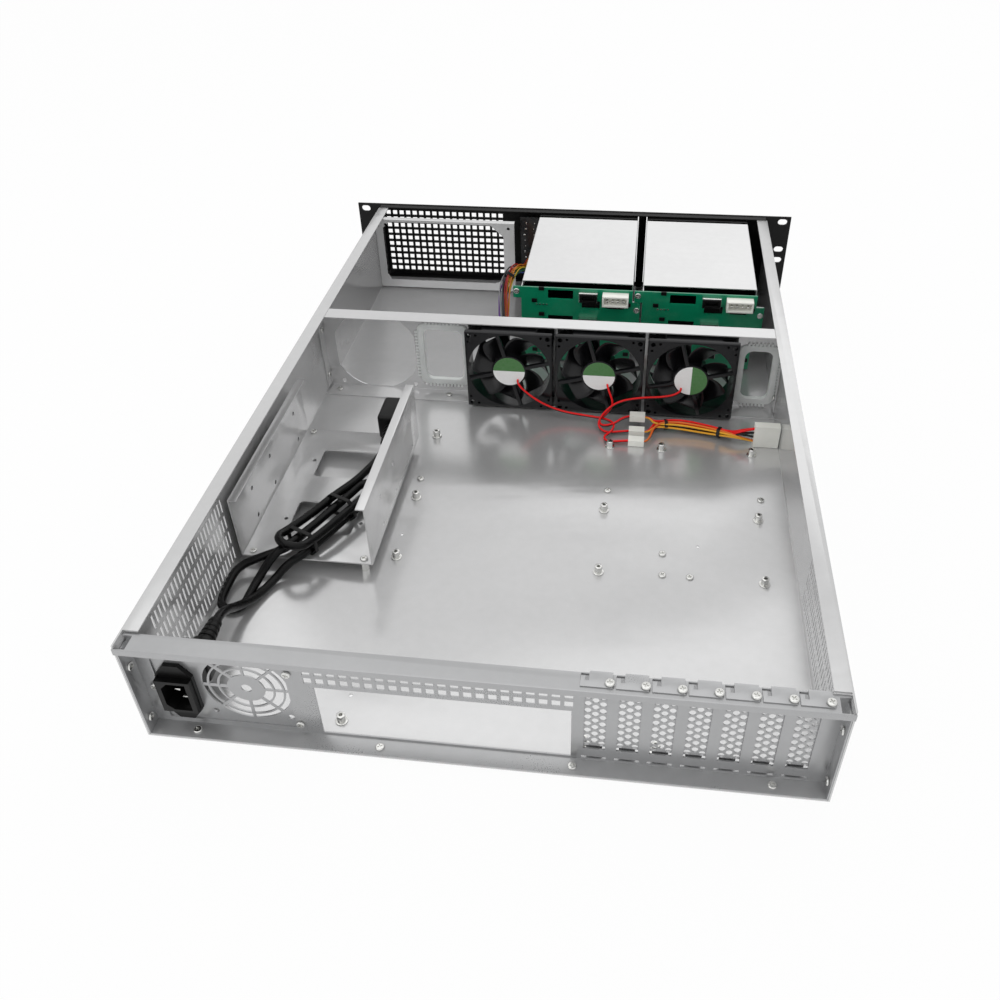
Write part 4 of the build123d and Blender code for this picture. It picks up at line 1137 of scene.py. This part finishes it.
def trunk_wires(*places):
    """One wire from each plug, given its side, height and pin."""
    return [trunk_wire(plug, *where) for plug, where in zip(PLUGS, places)]


yellow = trunk_wires((1.9, 1.2, -7), (2.3, -0.6, -7), (1.0, 2.1, -6.4))
red = trunk_wires((-0.6, 2.2, 7), (-1.9, 1.3, 7), (0.3, 0.5, 6.4))
black = trunk_wires((-2.2, -0.4, -2.2), (-1.2, -1.7, 2.2), (0.7, -1.5, 2.2))
strands("loom_yellow", yellow[:2], 0.95, wire_yellow, ("power_loom",))
strands("loom_orange", yellow[2:], 0.95, wire_orange)
strands("loom_red", red, 0.95, wire_red)
strands("loom_black", black, 0.95, wire_black)

front_route = [
    (44, -310.5, 33),
    (44, -288, 33),
    (54, -260, 50),
    (62, -240, 38),
    (60, -218, 18),
    (58, -197, 8.5),
]
front_tones = (
    (0.35, 0.01, 0.01),
    (0.60, 0.17, 0.01),
    (0.62, 0.42, 0.02),
    (0.02, 0.13, 0.04),
    (0.02, 0.06, 0.32),
    (0.14, 0.03, 0.28),
    (0.25, 0.25, 0.26),
    (0.015, 0.015, 0.016),
)
front_finishes = [
    plastic(f"front_wire_tone_{i + 1}", tone, 0.34, 0.05)
    for i, tone in enumerate(front_tones)
]
for index, finish in enumerate(front_finishes):
    routes = []
    for layer, reach in enumerate((2.2, 5.0)):
        angle = (index + 0.5 * layer) * 2 * math.pi / len(front_tones)
        wound = []
        for step, (x, y, z) in enumerate(front_route):
            turn = angle + 0.5 * step
            open_up = reach * (0.6, 0.9, 1.15, 1.2, 1.1, 0.8)[step]
            wound.append((x + open_up * math.cos(turn), y, z + open_up * math.sin(turn)))
        routes.append(wound)
    strands(f"front_wire_{index + 1}", routes, 0.75, finish, ("front_loom",) if index == 0 else ())


# ---- mains lead ----
HANK = Vector((166.0, behind(160.0), 0))
ALONG = Vector((-0.41, -0.912, 0))
ACROSS = Vector((0.912, -0.41, 0))


def in_hank(along, across, z):
    """A place in the hank, from its rear end."""
    place = HANK + ALONG * along + ACROSS * across
    return (place.x, place.y, z)


mains_route = [
    (190, 274, 35.05),
    (190, 259, 35),
    (191, 243, 30),
    (190.5, 226, 15.5),
    (185, 208, 7),
    (178, 190, 6.5),
    (169, 178, 14.5),
    in_hank(4, -7, 17.8),
    in_hank(30, -7.5, 17.5),
    in_hank(58, -7.5, 17.5),
    in_hank(81.7, -8, 17.8),
    in_hank(88.3, -8, 18),
    in_hank(93, -3.3, 18.2),
    in_hank(93, 3.3, 18.6),
    in_hank(88.3, 8, 19),
    in_hank(81.7, 8, 19),
    in_hank(58, 8, 19),
    in_hank(30, 7.5, 19),
    in_hank(4, 8, 19),
    (176, 168.5, 19),
    (191, 176, 17),
    (207, 184, 13),
    (209.5, 200, 9),
    (209.5, 215.8, 7),
    (204.1, 221.2, 6.5),
    (196.4, 221.2, 6.5),
    (191, 215.8, 6.5),
    (190.5, 203, 7.5),
    (188, 190, 10),
    (178, 178, 24.5),
    in_hank(7, 2, 26.5),
    in_hank(30, 2, 25.5),
    in_hank(56, 1.5, 25.5),
    in_hank(76.5, 1.5, 25.8),
    in_hank(82.8, 1.5, 26.3),
    in_hank(87.2, -2.7, 27),
    in_hank(87.2, -8.6, 27.6),
    in_hank(82.8, -12.8, 27.6),
    in_hank(76.5, -12.8, 27.4),
    in_hank(54, -11.5, 27),
    in_hank(28, -11, 27),
    in_hank(8, -11, 28.5),
    in_hank(-1.5, -11, 31),
    in_hank(-8, -4.6, 34.5),
    in_hank(-8, 4.6, 35),
    in_hank(-1.5, 11, 33),
    in_hank(8, 11, 30.5),
    in_hank(32, 11, 27.5),
    in_hank(60, 10, 27.5),
    in_hank(82, 6, 28.5),
    in_hank(97, 6, 29.5),
    (124, 64, 32),
    (121.5, 50, 37),
    (121.5, 31.2, 38),
]


def ribbed_relief(start_y, end_y, x, z, wide, narrow, drop=0.0):
    """Tapered sleeve round the cord, from wide to narrow, with five ribs."""
    length = end_y - start_y
    turn = (math.radians(90 if length < 0 else -90), 0, 0)
    core = start(
        "cone",
        vertices=32,
        radius1=(wide - 0.8) * MM,
        radius2=(narrow - 0.5) * MM,
        depth=abs(length) * MM,
        location=place((x, start_y + length / 2, z - drop / 2)),
        rotation=turn,
    )
    parts = [soften(core, 0.3, 1)]
    for index in range(5):
        share = (index + 0.6) / 5.2
        radius = wide + (narrow - wide) * share
        rib = rod(
            (x, start_y + length * share, z - drop * share),
            radius,
            abs(length) * 0.11,
            "Y",
            32,
        )
        parts.append(soften(rib, 0.45))
    return joined(*parts)


boot = soften(block((179, 284, BASE + 20.95), (201, 299.7, BASE + 46.95)), 2.2, 3)
collar = soften(rod((190, 282, 35.05), 8.2, 8, "Y", 32), 0.8)
boot = joined(boot, collar, ribbed_relief(280, 257, 190, 35.05, 6.8, 4.6, 0.6))
finished(boot, "lead_boot", black_plastic, hides=("mains_boot",))
socket = soften(block((109.5, -1, 26), (133.5, 31, 50)), 3.0, 3)
cut(socket, soften(block((112.5, -2, 31), (130.5, 3, 45)), 1.5, 2))
socket = joined(socket, ribbed_relief(30.5, 53, 121.5, 38, 6.4, 4.6, 1.2))
finished(socket, "lead_socket", black_plastic, hides=("mains_socket",))
mains_cord = line("mains_cord", [mains_route], 3.3, cord_black, 10)
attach(mains_cord, "case")
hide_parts("mains_lead", "mains_hank", "mains_tail")

# ---- stage, light and camera ----
def stage_plane(name, size, colour):
    """The floor: pale, keeping the shadow."""
    nothing_selected()
    bpy.ops.mesh.primitive_plane_add(size=size, location=(0, 0, 0))
    plane = bpy.context.object
    plane.name = name
    p = Paint(name)
    seen = p.node("ShaderNodeLightPath", {}, {}, "Is Camera Ray")
    glossy = p.node("ShaderNodeLightPath", {}, {}, "Is Glossy Ray")
    clear = p.node("ShaderNodeLightPath", {}, {}, "Is Transmission Ray")
    p.set(Base_Color=rgb(*colour), Roughness=0.8)
    p.shader.inputs["Specular IOR Level"].default_value = 0.1
    glow = p.node("ShaderNodeEmission", {}, {"Color": rgb(1, 1, 1), "Strength": 1.0}, "Emission")
    mirrored = p.node("ShaderNodeMath", {"operation": "MAXIMUM"}, {0: glossy, 1: clear}) * 0.75
    share = p.node("ShaderNodeMath", {"operation": "MAXIMUM"}, {0: seen * 0.95, 1: mirrored})
    mix = p.node("ShaderNodeMixShader", {}, {0: share, 1: Link(p, p.shader.outputs[0]), 2: glow})
    p.tree.links.new(mix.socket, p.tree.nodes["Material Output"].inputs["Surface"])
    plane.data.materials.append(p.material)
    return plane


stage_plane("floor", 8.0, (0.9, 0.9, 0.9))


def soft_light(name, place, target, size, power, colour=(1, 1, 1)):
    data = bpy.data.lights.new(name, "AREA")
    data.shape = "RECTANGLE"
    data.size, data.size_y = size
    data.energy = power
    data.color = colour
    lamp = bpy.data.objects.new(name, data)
    bpy.context.scene.collection.objects.link(lamp)
    lamp.location = place
    lamp.rotation_euler = (Vector(target) - Vector(place)).to_track_quat("-Z", "Y").to_euler()


soft_light("overhead", (0.1, 0.0, 1.5), (0, 0, 0), (1.6, 1.6), 4)
soft_light("behind_left", (1.3, 1.2, 1.1), (0, 0, 0), (1.0, 1.0), 3)
soft_light("front_far", (-0.5, -1.6, 1.0), (0, 0, 0), (1.6, 0.8), 2)

world = bpy.data.worlds.new("studio")
bpy.context.scene.world = world
world.use_nodes = True
background = world.node_tree.nodes["Background"]
background.inputs["Color"].default_value = (1, 1, 1, 1)
background.inputs["Strength"].default_value = 0.75
white = world.node_tree.nodes.new("ShaderNodeBackground")
white.inputs["Strength"].default_value = 1.0
white.inputs["Color"].default_value = (1, 1, 1, 1)
path = world.node_tree.nodes.new("ShaderNodeLightPath")
either = world.node_tree.nodes.new("ShaderNodeMath")
either.operation = "MAXIMUM"
blend = world.node_tree.nodes.new("ShaderNodeMixShader")
world.node_tree.links.new(path.outputs["Is Camera Ray"], either.inputs[0])
glossy_share = world.node_tree.nodes.new("ShaderNodeMath")
glossy_share.operation = "MULTIPLY"
glossy_share.inputs[1].default_value = 0.5
world.node_tree.links.new(path.outputs["Is Glossy Ray"], glossy_share.inputs[0])
world.node_tree.links.new(glossy_share.outputs[0], either.inputs[1])
world.node_tree.links.new(either.outputs[0], blend.inputs[0])
world.node_tree.links.new(background.outputs[0], blend.inputs[1])
world.node_tree.links.new(white.outputs[0], blend.inputs[2])
world.node_tree.links.new(blend.outputs[0], world.node_tree.nodes["World Output"].inputs["Surface"])
bpy.context.scene.view_settings.view_transform = "Standard"

CAMERA_PLACE = Vector((-82.988, 339.041 + REAR, 511.272 + BASE)) * MM
CAMERA_TURN = (
    Matrix.Rotation(3.278949, 3, "Z")
    @ Matrix.Rotation(0.909563, 3, "X")
    @ Matrix.Rotation(-0.022079, 3, "Z")
)
FOCAL_PX = 944.459
camera = bpy.data.objects.new("camera", bpy.data.cameras.new("camera"))
bpy.context.scene.collection.objects.link(camera)
camera.matrix_world = Matrix.Translation(CAMERA_PLACE) @ CAMERA_TURN.to_4x4()
camera.data.sensor_width = 36.0
camera.data.lens = FOCAL_PX * 36.0 / 1000.0
camera.data.shift_x = (500 - 526.117) / 1000
camera.data.shift_y = (461.922 - 500) / 1000
camera.data.clip_start = 0.01
bpy.context.scene.camera = camera
